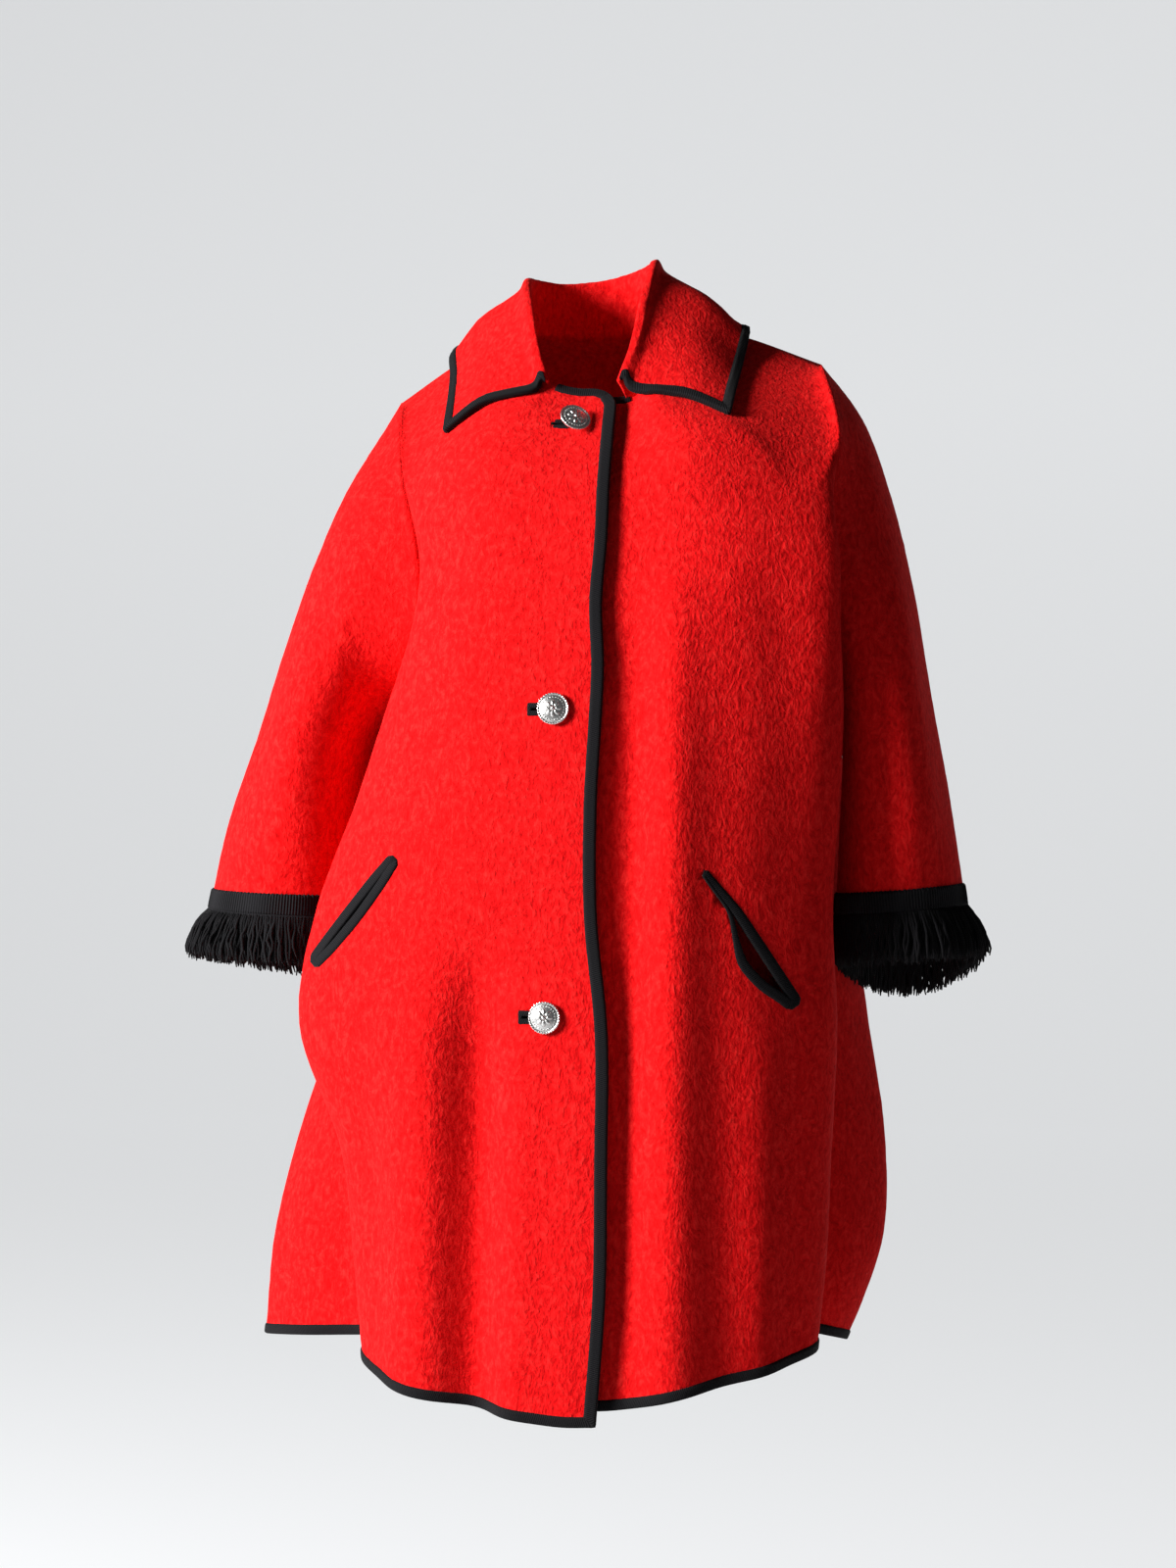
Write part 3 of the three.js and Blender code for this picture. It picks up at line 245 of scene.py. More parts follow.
def lapPoints(index):  # the left front's points under the right one, moved in from its face
    above = rightFrontRows[max(index - 1, 0)]
    below = rightFrontRows[min(index + 1, hemRow)]
    fall = unit([0, below[1] - above[1], below[2] - above[2]])
    face = frontSection(rightFrontRows, index, -1)
    t = shareToT(face, np.linspace(0, 1, 201))
    places = splineAt(face, t)
    along = unit(splineAt(face, np.minimum(t + 1e-3, 1)) - splineAt(face, np.maximum(t - 1e-3, 0)))
    points = []
    for x in (-cut["lapLeft"], 4, cut["lapEnd"]):
        k = int(np.argmin(np.abs(places[:, 0] - x)))
        place = places[k] + cut["lapDepth"] * unit(np.cross(fall, along[k]))
        level = place[2] if index < lapLevelRow else leftFrontRows[index][2]
        points.append((x, place[1], level))
    return points


def backSection(rightRow, leftRow):
    def half(row, side):
        centreY, centreZ, foldX, foldY, foldZ, seamX, seamY, seamZ = row
        return [
            (side * seamX, seamY, seamZ),
            (side * foldX, foldY, foldZ),
            (
                side * 0.6 * foldX,
                centreY + 0.24 * (foldY - centreY),
                centreZ + 0.4 * (foldZ - centreZ),
            ),
        ]
    centre = [(0, rightRow[0], rightRow[1])]
    return np.array(half(rightRow, -1) + centre + half(leftRow, 1)[::-1], float)


bodySteps = [t / 2 for t in range(2 * tipRow)]
bodySteps += [tipRow + k * (underarmRow - tipRow) / cut["armholeRows"] for k in range(cut["armholeRows"])]
bodySteps += [underarmRow + k * (hemRow - underarmRow) / cut["bodyRows"] for k in range(cut["bodyRows"] + 1)]
tipIndex = 2 * tipRow + 1  # with the neck binding's row before it


def rowParameters(column):
    start = np.linalg.norm(splineAt(column, 0)[0] - splineAt(column, 0.25 / hemRow)[0]) * 4
    end = np.linalg.norm(splineAt(column, 1)[0] - splineAt(column, 1 - 0.25 / hemRow)[0]) * 4
    coarse = [t / hemRow for t in bodySteps]
    coarse.insert(1, cut["neckBinding"] / start / hemRow)
    coarse.insert(-1, 1 - cut["hemBinding"] / end / hemRow)
    return refined(coarse)


def seamCurves(frontRows, backRows, side):
    def place(row):
        return (side * row[-3], row[-2], row[-1])
    front = [place(row) for row in frontRows]
    back = [place(row) for row in backRows]
    return {
        "shoulder": np.array(front[: tipRow + 1], float),
        "armhole": np.array(front[tipRow: underarmRow + 1] + back[tipRow + 1: underarmRow][::-1], float),
        "side": np.array(front[underarmRow:], float),
    }


def seamLine(seams, isFront):  # where the edge of a front or the back lies, for every fine row
    steps = np.array(bodySteps)
    shoulder = list(steps[steps <= tipRow] / tipRow)
    neckShare = cut["neckBinding"] / arcTable(seams["shoulder"])[1][-1]
    shoulder.insert(1, float(shareToT(seams["shoulder"], neckShare)))
    armhole = (steps[(steps >= tipRow) & (steps <= underarmRow)] - tipRow) / (underarmRow - tipRow) / 2
    armhole = armhole if isFront else 1 - armhole
    sideSteps = list((steps[steps >= underarmRow] - underarmRow) / (hemRow - underarmRow))
    hemShare = cut["hemBinding"] / arcTable(seams["side"])[1][-1]
    sideSteps.insert(-1, float(shareToT(seams["side"], 1 - hemShare)))
    parts = [
        splineAt(seams["shoulder"], refined(shoulder))[:-1],
        splineAt(seams["armhole"], refined(armhole), True)[:-1],
        splineAt(seams["side"], refined(sideSteps)),
    ]
    return np.concatenate(parts)


def pullToSeam(grid, target, fromEnd):
    last = grid.shape[1] - 1
    shift = target - grid[:, last if fromEnd else 0]
    for k in range(4 * fine):
        grid[:, last - k if fromEnd else k] += shift * (1 - k / (4 * fine)) ** 2


def easeTip(grid, fromEnd):  # evens out the cells beside the shoulder tip, its edge kept
    reach = 5 * fine
    across = slice(-reach, None) if fromEnd else slice(0, reach)
    patch = grid[(tipIndex - 3) * fine: (tipIndex + 3) * fine, across]
    for _ in range(60):
        patch[1:-1, 1:-1] = (patch[:-2, 1:-1] + patch[2:, 1:-1] + patch[1:-1, :-2] + patch[1:-1, 2:]) / 4


def panelGrid(sections, sharesOf):
    rows = np.array([splineAt(s, shareToT(s, refined(sharesOf(s)))) for s in sections])
    columns = [splineAt(rows[:, j], rowParameters(rows[:, j])) for j in range(rows.shape[1])]
    return np.stack(columns, axis=1)


def shareBefore(section, index):
    _, run = arcTable(section)
    return run[index * 24] / run[-1]


def frontGrid(rows, side, seams):
    def sharesOf(section):
        first = cut["edgeBinding"] / arcTable(section)[1][-1]
        fold = shareBefore(section, len(section) - 2)
        flat = np.linspace(first, fold, cut["frontFlat"])
        return [0, *flat, *np.linspace(fold, 1, cut["frontRoll"] + 1)[1:]]
    grid = panelGrid([frontSection(rows, k, side) for k in range(len(rows))], sharesOf)
    pullToSeam(grid, seamLine(seams, True), True)
    easeTip(grid, True)
    return grid


def backGrid(rightSeams, leftSeams):
    def sharesOf(section):
        rightFold, leftFold = shareBefore(section, 1), shareBefore(section, len(section) - 2)
        roll = cut["backRoll"] + 1
        return [
            *np.linspace(0, rightFold, roll),
            *np.linspace(rightFold, leftFold, cut["backFlat"] + 1)[1:],
            *np.linspace(leftFold, 1, roll)[1:],
        ]
    grid = panelGrid([backSection(a, b) for a, b in zip(rightBackRows, leftBackRows)], sharesOf)
    pullToSeam(grid, seamLine(rightSeams, False), False)
    pullToSeam(grid, seamLine(leftSeams, False), True)
    easeTip(grid, False)
    easeTip(grid, True)
    return grid


def roundCorner(grid):  # upper corner of the right front
    radius = cut["cornerRadius"]
    corner = grid[0, 0].copy()
    inward = unit(grid[0, fine] - corner)
    down = unit(grid[2 * fine, 0] - corner)
    for i in range(4 * fine):
        for j in range(4 * fine):
            a = float(np.dot(grid[i, j] - corner, inward))
            b = float(np.dot(grid[i, j] - corner, down))
            depth = max(min(a, b), 0)
            if max(a, b) >= radius or depth >= radius:
                continue
            along = (max(a, b) - depth) / (radius - depth)
            angle = math.radians(45 * (1 - along))
            if b > a:
                angle = math.pi / 2 - angle
            newA = radius - (radius - depth) * math.sin(angle)
            newB = radius - (radius - depth) * math.cos(angle)
            grid[i, j] += (newA - a) * inward + (newB - b) * down


def sleeveGrid(rings, side, seams, around, down):
    angles = 2 * math.pi * np.arange(around) / around
    controls = []
    for r, (overX, overZ, underX, underZ, frontY, backY, drop) in enumerate(rings):
        if r == 0:
            controls.append(splineAt(seams["armhole"], np.arange(around) / around, True))
            continue
        over = np.array((side * overX, 6, overZ), float)
        under = np.array((side * underX, 2, underZ), float)
        centre = (over + under) / 2
        ring = centre + np.cos(angles)[:, None] * (over - centre)
        ring[:, 1] += np.where(np.sin(angles) > 0, frontY, -backY) * np.sin(angles)
        ring[:, 2] -= drop * np.clip(-np.sin(angles), 0, 1) ** 1.3
        controls.append(ring)
    controls = np.array(controls)
    columns = [splineAt(controls[:, k], down) for k in range(around)]
    return np.stack(columns, axis=1)


def gridNormals(grid, facing, around=False):
    if around:
        across = np.roll(grid, -1, axis=1) - np.roll(grid, 1, axis=1)
    else:
        across = np.gradient(grid, axis=1)
    return facing * unit(np.cross(across, np.gradient(grid, axis=0)))


seams = {
    "right": seamCurves(rightFrontRows, rightBackRows, -1),
    "left": seamCurves(leftFrontRows, leftBackRows, 1),
}
armCells = 2 * cut["armholeRows"] * fine
sleeveDown = np.linspace(0, 1, 14 * fine + 1)
grids = {
    "rightFront": frontGrid(rightFrontRows, -1, seams["right"]),
    "leftFront": frontGrid(leftFrontRows, 1, seams["left"]),
    "back": backGrid(seams["right"], seams["left"]),
    "rightSleeve": sleeveGrid(rightSleeveRings, -1, seams["right"], armCells, sleeveDown),
    "leftSleeve": sleeveGrid(leftSleeveRings, 1, seams["left"], armCells, sleeveDown),
}
roundCorner(grids["rightFront"])
facings = {"rightFront": 1, "leftFront": -1, "back": 1, "rightSleeve": -1, "leftSleeve": 1, "collar": 1}
tubes = {"rightSleeve", "leftSleeve"}
normals = {}


def renewNormals(name):
    normals[name] = gridNormals(grids[name], facings[name], name in tubes)


for gridName in grids:
    renewNormals(gridName)

# The largest folds, as in the solids: panel, x at the top, x at the hem, top z, depth, half width
bodyFolds = [
    ("rightFront", -71, -78, -560, -17, 24),
    ("rightFront", -122, -132, -600, 8, 26),
    ("rightFront", -40, -48, -620, 6, 24),
    ("leftFront", 102, 106, -230, 8, 27),
    ("leftFront", 152, 150, -380, -4, 20),
    ("leftFront", 176, 172, -620, 8, 22),
    ("back", -225, -262, -430, 9, 34),
    ("back", -150, -186, -330, -13, 36),
    ("back", -82, -100, -260, 11, 34),
    ("back", -8, -14, -300, -12, 38),
    ("back", 70, 82, -260, 12, 34),
    ("back", 140, 158, -340, -13, 34),
    ("back", 205, 226, -420, 8, 28),
]
foldGrowth = 420


def applyFolds():
    for panel, topX, hemX, topZ, depth, width in bodyFolds:
        grid = grids[panel]
        x, z = grid[..., 0], grid[..., 2]
        column = np.arange(grid.shape[1]) / fine
        fade = np.clip(np.minimum(column - 1, column[-1] - column) / 2, 0, 1)[None, :]
        fall = np.clip((topZ - z) / foldGrowth, 0, 1)
        away = (x - (topX + fall * (hemX - topX))) / width
        amount = depth * np.sqrt(fall) * np.exp(-away ** 2) * fade
        if panel == "leftFront":
            amount = np.where(x < cut["lapEnd"], 0, amount)
        grids[panel] = grid + amount[..., None] * normals[panel]


applyFolds()

# Softer creases: panel, points along them, depth and half width
creases = [
    ("rightSleeve", [(-200, -70, -120), (-214, -92, -190), (-232, -92, -262), (-226, -88, -330)], -5, 16),
    ("rightSleeve", [(-262, -80, -300), (-268, -84, -380), (-262, -78, -450)], 4, 22),
    ("rightSleeve", [(-292, -60, -330), (-305, -60, -400), (-312, -54, -470)], -3, 18),
    ("leftSleeve", [(262, -70, -150), (270, -84, -240), (274, -82, -330)], -4, 20),
    ("leftSleeve", [(282, -72, -200), (299, -76, -320), (308, -76, -430), (315, -74, -600)], 14, 34),
    ("leftFront", [(63, -160, -150), (64, -176, -370), (62, -186, -600), (57, -190, -1100)], -8.5, 18),
    ("leftFront", [(96, -160, -150), (100, -170, -400), (97, -178, -650), (91, -186, -1200)], 6, 24),
    ("leftFront", [(150, -150, -380), (150, -152, -600), (150, -154, -1100)], 5, 22),
    ("leftFront", [(188, -130, -200), (196, -125, -400), (196, -122, -580)], -5, 28),
    ("leftFront", [(196, -120, -560), (192, -124, -680), (188, -128, -1000)], -5, 20),
    ("rightFront", [(-80, -120, -170), (-104, -124, -230), (-120, -126, -300)], -3, 18),
    ("rightFront", [(-122, -150, -560), (-128, -152, -750), (-134, -156, -1250)], 7, 26),
    ("rightFront", [(-66, -178, -560), (-68, -184, -750), (-70, -190, -1250)], -11, 26),
    ("rightFront", [(-180, -140, -640), (-172, -146, -760), (-160, -152, -900)], -4, 20),
    ("back", [(-120, 110, -150), (-128, 130, -260), (-120, 140, -380)], -4, 26),
    ("back", [(30, 124, -140), (40, 140, -260), (34, 150, -400)], 3, 28),
    ("back", [(150, 112, -160), (160, 124, -280), (176, 128, -420)], -4, 24),
    ("rightSleeve", [(-224, 86, -170), (-246, 92, -260), (-262, 90, -350)], -4, 20),
    ("leftSleeve", [(270, 84, -180), (284, 88, -300), (292, 84, -420)], -4, 22),
]


creaseSamples = 161  # close enough together for an even ridge


def creaseAmount(p, line, width):  # 1 on the line, falling off sideways and at its ends
    path = splineAt(line, np.linspace(0, 1, creaseSamples))
    flat = p.reshape(-1, 3)
    gap = np.linalg.norm(flat[:, None] - path[None], axis=2)
    nearest = np.argmin(gap, axis=1)
    gap = gap[np.arange(len(flat)), nearest]
    taper = np.sin(np.pi * (nearest + 1) / (creaseSamples + 1)) ** 0.7
    return (np.exp(-(gap / width) ** 2) * taper).reshape(p.shape[:-1])


def applyCreases():
    for panel, line, depth, width in creases:
        grid = grids[panel]
        if panel in tubes:
            row = np.arange(grid.shape[0]) / fine
            edges = np.clip(np.minimum(row, row[-1] - row) / 2, 0, 1)[:, None]
        else:
            column = np.arange(grid.shape[1]) / fine
            edges = np.clip(np.minimum(column - 1, column[-1] - column) / 2, 0, 1)[None, :]
        amount = depth * creaseAmount(grid, line, width) * edges
        grids[panel] = grid + amount[..., None] * normals[panel]


applyCreases()
for gridName in grids:
    renewNormals(gridName)
print("body and sleeves shaped")


# Meshes
def newMesh(name, vertices, faces):  # from millimetres
    mesh = bpy.data.meshes.new(name)
    places = (np.asarray(vertices) * millimetre).tolist()
    mesh.from_pydata(places, [], [list(map(int, f)) for f in faces])
    return mesh


def addPiece(name, vertices, faces, nodes, uv=None):
    mesh = newMesh(name, vertices, faces)
    if uv is not None:
        layer = mesh.uv_layers.new(name="UVMap")
        loops = np.zeros(len(mesh.loops), int)
        mesh.loops.foreach_get("vertex_index", loops)
        layer.data.foreach_set("uv", np.asarray(uv, float)[loops].ravel())
    mesh.validate()
    mesh.shade_smooth()
    piece = bpy.data.objects.new(name, mesh)
    bpy.context.scene.collection.objects.link(piece)
    finishPiece(piece, nodes)
    return piece


def finishPiece(piece, nodes):
    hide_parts(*nodes)
    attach(piece, "root")


def quadsOf(rows, count, around, start=0):
    columns = count if around else count - 1
    i, j = np.meshgrid(np.arange(rows - 1), np.arange(columns), indexing="ij")
    after = (j + 1) % count
    corners = (i * count + j, i * count + after, (i + 1) * count + after, (i + 1) * count + j)
    return np.stack(corners, -1).reshape(-1, 4) + start


def facesOut(vertices, quads, wanted):  # whether the first quads turn the way of the wanted normals
    a, b, c = vertices[quads[:, 0]], vertices[quads[:, 1]], vertices[quads[:, 2]]
    return np.sum(np.cross(b - a, c - a) * wanted[quads[:, 0]]) > 0


def shell(grid, faceNormals, around, thick):  # an outer face, an inner face and a rim
    rows, count = grid.shape[:2]
    outer = grid.reshape(-1, 3)
    inner = (grid - thick * faceNormals).reshape(-1, 3)
    vertices = np.concatenate([outer, inner])
    quads = quadsOf(rows, count, around)
    turned = facesOut(vertices, quads, faceNormals.reshape(-1, 3))
    if not turned:
        quads = quads[:, ::-1]
    total = rows * count
    inside = quads[:, ::-1] + total
    rims = []

    def rim(line, flip):
        a, b = line[:-1], line[1:]
        quad = np.stack([a, b, b + total, a + total], -1)
        rims.append(quad[:, ::-1] if flip else quad)

    top, bottom = np.arange(count), np.arange(count) + (rows - 1) * count
    if around:
        top, bottom = np.append(top, top[0]), np.append(bottom, bottom[0])
    rim(top, turned)
    rim(bottom, not turned)
    if not around:
        rim(np.arange(rows) * count, not turned)
        rim(np.arange(rows) * count + count - 1, turned)
    return vertices, np.concatenate([quads, inside, *rims])


def napHeight(p):  # uneven clumps of nap, longer down the cloth than across it
    total = np.zeros(p.shape[:-1])
    waves = [
        (0.52, 0.19, 0.31, 0.7), (-0.41, 0.55, 0.23, 1.9), (0.33, -0.62, 0.17, 4.1),
        (0.71, 0.37, -0.29, 2.6), (-0.23, 0.81, 0.35, 5.3), (0.93, -0.17, 0.21, 0.3),
    ]
    x, y, z = p[..., 0], p[..., 1], p[..., 2]
    for a, b, c, shift in waves:
        total += np.sin(a * x + b * y + c * z + shift + 1.3 * np.sin(0.13 * z + shift))
    return total / len(waves)


def clothPiece(name, gridName, node):
    grid, around = grids[gridName], gridName in tubes
    rows, count = (np.arange(n) for n in grid.shape[:2])
    inside = np.clip(np.minimum(rows, rows[::-1]) / fine, 0, 1)[:, None]  # none at the seams
    if not around:
        inside = inside * np.clip(np.minimum(count, count[::-1]) / fine, 0, 1)[None, :]
    raised = grid + (cut["nap"] * inside * napHeight(grid))[..., None] * normals[gridName]
    vertices, faces = shell(raised, normals[gridName], around, cut["cloth"])
    piece = addPiece(name, vertices, faces, [node])
    return piece


# The collar lies on the body, so its points are kept a little above it
collar = {
    "cells": 20,
    "middle": 8,
    "rest": 5.0,
    "shoulderLift": 4.4,
    "neckGap": 0.9,
    "rightStart": -23,
    "leftStart": 44,
    "rows": (0, 0.17, 0.32, 0.42, 0.5, 0.59, 0.7, 0.82),
}


def surfaceTree(name):
    grid = grids[name]
    vertices = grid.reshape(-1, 3)
    quads = quadsOf(grid.shape[0], grid.shape[1], name in tubes)
    if not facesOut(vertices, quads, normals[name].reshape(-1, 3)):
        quads = quads[:, ::-1]
    return BVHTree.FromPolygons(vertices.tolist(), quads.tolist())


trees = {name: surfaceTree(name) for name in ("rightFront", "leftFront", "back")}


def restOnBody(p, distance, exactly=False):
    best = min((tree.find_nearest(p) for tree in trees.values()), key=lambda found: found[3])
    height = (Vector(p) - best[0]).dot(best[1])
    if exactly or height < distance:
        return np.array(Vector(p) + best[1] * (distance - height))
    return np.array(p)


def restAt(p):
    return collar["rest"] + collar["shoulderLift"] * math.exp(-(((p[1] - 5) / 30) ** 2))


def neckLine():
    right, left = grids["rightFront"][0], grids["leftFront"][0]
    rightPick = np.where(right[:, 0] <= collar["rightStart"])[0]
    leftPick = np.where(left[:, 0] >= collar["leftStart"])[0][::-1]
    backPick = np.arange(1, grids["back"].shape[1] - 1)
    places, facing, up = [], [], []
    for name, pick in (("rightFront", rightPick), ("back", backPick), ("leftFront", leftPick)):
        places.append(grids[name][0, pick])
        facing.append(normals[name][0, pick])
        up.append(unit(grids[name][0, pick] - grids[name][fine, pick]))
    places, facing, up = np.concatenate(places), unit(np.concatenate(facing)), np.concatenate(up)
    run = np.concatenate([[0], np.cumsum(np.linalg.norm(np.diff(places, axis=0), axis=1))])
    return run / run[-1], places + collar["neckGap"] * up - cut["cloth"] * facing


def neckSpots(fractions):
    run, places = neckLine()
    return np.stack([np.interp(fractions, run, places[:, k]) for k in range(3)], axis=-1)


def collarGrid():
    def half(side):
        stations = []
        for along, rollX, rollY, rollZ, edgeX, edgeY, edgeZ, lift, shift in collarStations:
            roll = np.array((collar["middle"] + side * rollX, rollY, rollZ), float)
            if side > 0:
                roll += (shift, 0, lift)
            edge = np.array((collar["middle"] + side * edgeX, edgeY, edgeZ), float)
            edge = restOnBody(edge, restAt(edge), True)
            out = unit([edge[0] - roll[0], edge[1] - roll[1], 0])
            seam = neckSpots([along / 2 if side < 0 else 1 - along / 2])[0]
            fallStart = roll + 13 * out + (0, 0, -8)
            middle = (fallStart + edge) / 2 + 4 * out + (0, 0, 5)
            middle = restOnBody(middle, restAt(middle) + 1)
            top = roll + 6.5 * out + (0, 0, 2.5)
            stations.append([seam, seam + 0.65 * (roll - seam), roll, top, fallStart, middle, edge])
        return stations
    stations = np.array(half(-1) + half(1)[::-1][1:])
    edgeLine = stations[:, 6]
    first = cut["collarBinding"] / arcTable(edgeLine)[1][-1]
    shares = [0, *np.linspace(first, 1 - first, collar["cells"] - 1), 1]
    t = shareToT(edgeLine, refined(shares))
    lines = np.array([splineAt(stations[:, k], t) for k in range(7)])
    columns = []
    for j in range(len(t)):
        column = lines[:, j]
        edgeT = float(shareToT(column, 1 - cut["collarBinding"] / arcTable(column)[1][-1]))
        columns.append(splineAt(column, refined([*collar["rows"], edgeT, 1])))
    grid = np.stack(columns, axis=1)
    shift = neckSpots(t) - grid[0]
    for k in range(fine):
        grid[k] += shift * (1 - k / fine)
    for i in range(5 * fine, grid.shape[0]):
        for j in range(grid.shape[1]):
            grid[i, j] = restOnBody(grid[i, j], restAt(grid[i, j]))
    return grid


grids["collar"] = collarGrid()
renewNormals("collar")
print("collar shaped")


# Materials: shared groups first
def newGroup(name, inputs, outputs):
    group = bpy.data.node_groups.new(name, "ShaderNodeTree")
    for label, kind, value in inputs:
        socket = group.interface.new_socket(name=label, in_out="INPUT", socket_type=kind)
        socket.default_value = value
    for label, kind in outputs:
        group.interface.new_socket(name=label, in_out="OUTPUT", socket_type=kind)
    enter, leave = group.nodes.new("NodeGroupInput"), group.nodes.new("NodeGroupOutput")
    return group, enter, leave


def addNode(tree, kind, **settings):
    node = tree.nodes.new(kind)
    for key, value in settings.items():
        setattr(node, key, value)
    return node


def mathNode(tree, operation, a, b=None):
    node = addNode(tree, "ShaderNodeMath", operation=operation)
    for socket, value in zip(node.inputs, (a, b)):
        if value is None:
            continue
        if isinstance(value, (int, float)):
            socket.default_value = value
        else:
            tree.links.new(value, socket)
    return node.outputs[0]


def times(tree, value, factor):
    return mathNode(tree, "MULTIPLY", value, factor)


def buildNap():  # brushed wool: clumps of nap, longer down than across, and fine hair between them
    group, enter, leave = newGroup(
        "brushedNap",
        [
            ("Clump Scale", "NodeSocketFloat", 130),
            ("Hair Scale", "NodeSocketFloat", 520),
            ("Stretch", "NodeSocketFloat", 0.42),
        ],
        [("Tone", "NodeSocketFloat"), ("Height", "NodeSocketFloat")],
    )
    links = group.links
    place = group.nodes.new("ShaderNodeTexCoord").outputs["Object"]
    stretch = group.nodes.new("ShaderNodeCombineXYZ")
    stretch.inputs[0].default_value = stretch.inputs[1].default_value = 1
    links.new(enter.outputs["Stretch"], stretch.inputs[2])
    scaled = addNode(group, "ShaderNodeVectorMath", operation="MULTIPLY")
    links.new(place, scaled.inputs[0])
    links.new(stretch.outputs[0], scaled.inputs[1])
    warp = addNode(group, "ShaderNodeTexNoise", noise_dimensions="3D")
    warp.inputs["Scale"].default_value = 60
    links.new(scaled.outputs[0], warp.inputs["Vector"])
    bent = addNode(group, "ShaderNodeVectorMath", operation="MULTIPLY_ADD")
    links.new(warp.outputs["Color"], bent.inputs[0])
    bent.inputs[1].default_value = (0.012, 0.012, 0.012)
    links.new(scaled.outputs[0], bent.inputs[2])

    def noise(scale, detail, rough):
        node = addNode(group, "ShaderNodeTexNoise", noise_dimensions="3D")
        node.inputs["Detail"].default_value = detail
        node.inputs["Roughness"].default_value = rough
        links.new(scale, node.inputs["Scale"])
        links.new(bent.outputs[0], node.inputs["Vector"])
        return node.outputs["Fac"]

    clumps = noise(enter.outputs["Clump Scale"], 2, 0.55)
    hair = noise(enter.outputs["Hair Scale"], 3, 0.6)
    locks = addNode(group, "ShaderNodeTexVoronoi", feature="SMOOTH_F1", distance="EUCLIDEAN")
    locks.inputs["Smoothness"].default_value = 0.8
    links.new(times(group, enter.outputs["Clump Scale"], 1.7), locks.inputs["Scale"])
    links.new(bent.outputs[0], locks.inputs["Vector"])
    lockHeight = mathNode(group, "SUBTRACT", 1, locks.outputs["Distance"])
    height = mathNode(group, "ADD", clumps, times(group, lockHeight, 0.55))
    height = mathNode(group, "ADD", height, times(group, hair, 0.5))
    links.new(height, leave.inputs["Height"])
    # the tone follows the same noise as the height: low nap gets the darker colour, partly painted shade and
    # partly random tone
    tone = mathNode(group, "ADD", times(group, clumps, 0.62), times(group, hair, 0.38))
    links.new(tone, leave.inputs["Tone"])
    return group


def buildRibs():  # braid: ribs across the strip, read from its own map in millimetres
    group, enter, leave = newGroup(
        "braidRibs",
        [("Rib Pitch", "NodeSocketFloat", 1.8), ("Slant", "NodeSocketFloat", 0.3)],
        [("Rib", "NodeSocketFloat"), ("Fuzz", "NodeSocketFloat")],
    )
    links = group.links
    separate = group.nodes.new("ShaderNodeSeparateXYZ")
    links.new(group.nodes.new("ShaderNodeUVMap").outputs[0], separate.inputs[0])
    lean = mathNode(group, "MULTIPLY", separate.outputs[1], enter.outputs["Slant"])
    along = mathNode(group, "ADD", separate.outputs[0], lean)
    phase = mathNode(group, "DIVIDE", along, enter.outputs["Rib Pitch"])
    rib = mathNode(group, "SINE", times(group, phase, 2 * math.pi))
    links.new(mathNode(group, "MULTIPLY_ADD", rib, 0.5), leave.inputs["Rib"])
    fuzz = addNode(group, "ShaderNodeTexNoise", noise_dimensions="3D")
    fuzz.inputs["Scale"].default_value = 900
    fuzz.inputs["Detail"].default_value = 3
    links.new(group.nodes.new("ShaderNodeTexCoord").outputs["Object"], fuzz.inputs["Vector"])
    links.new(fuzz.outputs["Fac"], leave.inputs["Fuzz"])
    return group


napGroup, ribGroup = buildNap(), buildRibs()


def newMaterial(name, group, values):
    material = bpy.data.materials.new(name)
    material.use_nodes = True
    tree = material.node_tree
    shader = tree.nodes["Principled BSDF"]
    for label, value in values.items():
        shader.inputs[label].default_value = value
    effect = None
    if group:
        effect = tree.nodes.new("ShaderNodeGroup")
        effect.node_tree = group
    return material, tree, shader, effect


def colourRamp(tree, factor, stops):
    ramp = tree.nodes.new("ShaderNodeValToRGB")
    while len(ramp.color_ramp.elements) < len(stops):
        ramp.color_ramp.elements.new(0.5)
    for element, (position, colour) in zip(ramp.color_ramp.elements, stops):
        element.position = position
        element.color = (*colour, 1)
    tree.links.new(factor, ramp.inputs[0])
    return ramp.outputs["Color"]


def bump(tree, shader, height, distance, strength):
    node = tree.nodes.new("ShaderNodeBump")
    node.inputs["Distance"].default_value = distance
    node.inputs["Strength"].default_value = strength
    tree.links.new(height, node.inputs["Height"])
    tree.links.new(node.outputs[0], shader.inputs["Normal"])


wool = {
    "colours": ((0.42, 0.0006, 0.0016), (0.66, 0.005, 0.006), (0.84, 0.019, 0.017)),
    # the pocket bag's wool colours, made darker: painted shade inside the pocket
    "pocketPaintedShadeColours": ((0.12, 0.001, 0.002), (0.24, 0.003, 0.004), (0.34, 0.01, 0.01)),
    "clumpScale": 230,
    "hairScale": 900,
    "stretch": 0.6,
    "relief": 0.0013,
    "pocketRelief": 0.0006,
}


def woolMaterial(name, colours, relief):  # colours from deep between the clumps to their tips; the darker colour low in the nap is partly painted shade, partly random tone
    material, tree, shader, nap = newMaterial(name, napGroup, {
        "Roughness": 0.95,
        "Sheen Weight": 0.12,
        "Sheen Roughness": 0.5,
        "Sheen Tint": (1.0, 0.12, 0.10, 1),
        "Specular IOR Level": 0.06,
    })
    nap.inputs["Clump Scale"].default_value = wool["clumpScale"]
    nap.inputs["Hair Scale"].default_value = wool["hairScale"]
    nap.inputs["Stretch"].default_value = wool["stretch"]
    deep, middle, tips = colours
    colour = colourRamp(tree, nap.outputs["Tone"], [(0.3, deep), (0.5, middle), (0.7, tips)])
    tree.links.new(colour, shader.inputs["Base Color"])
    bump(tree, shader, nap.outputs["Height"], relief, 0.8)
    return material


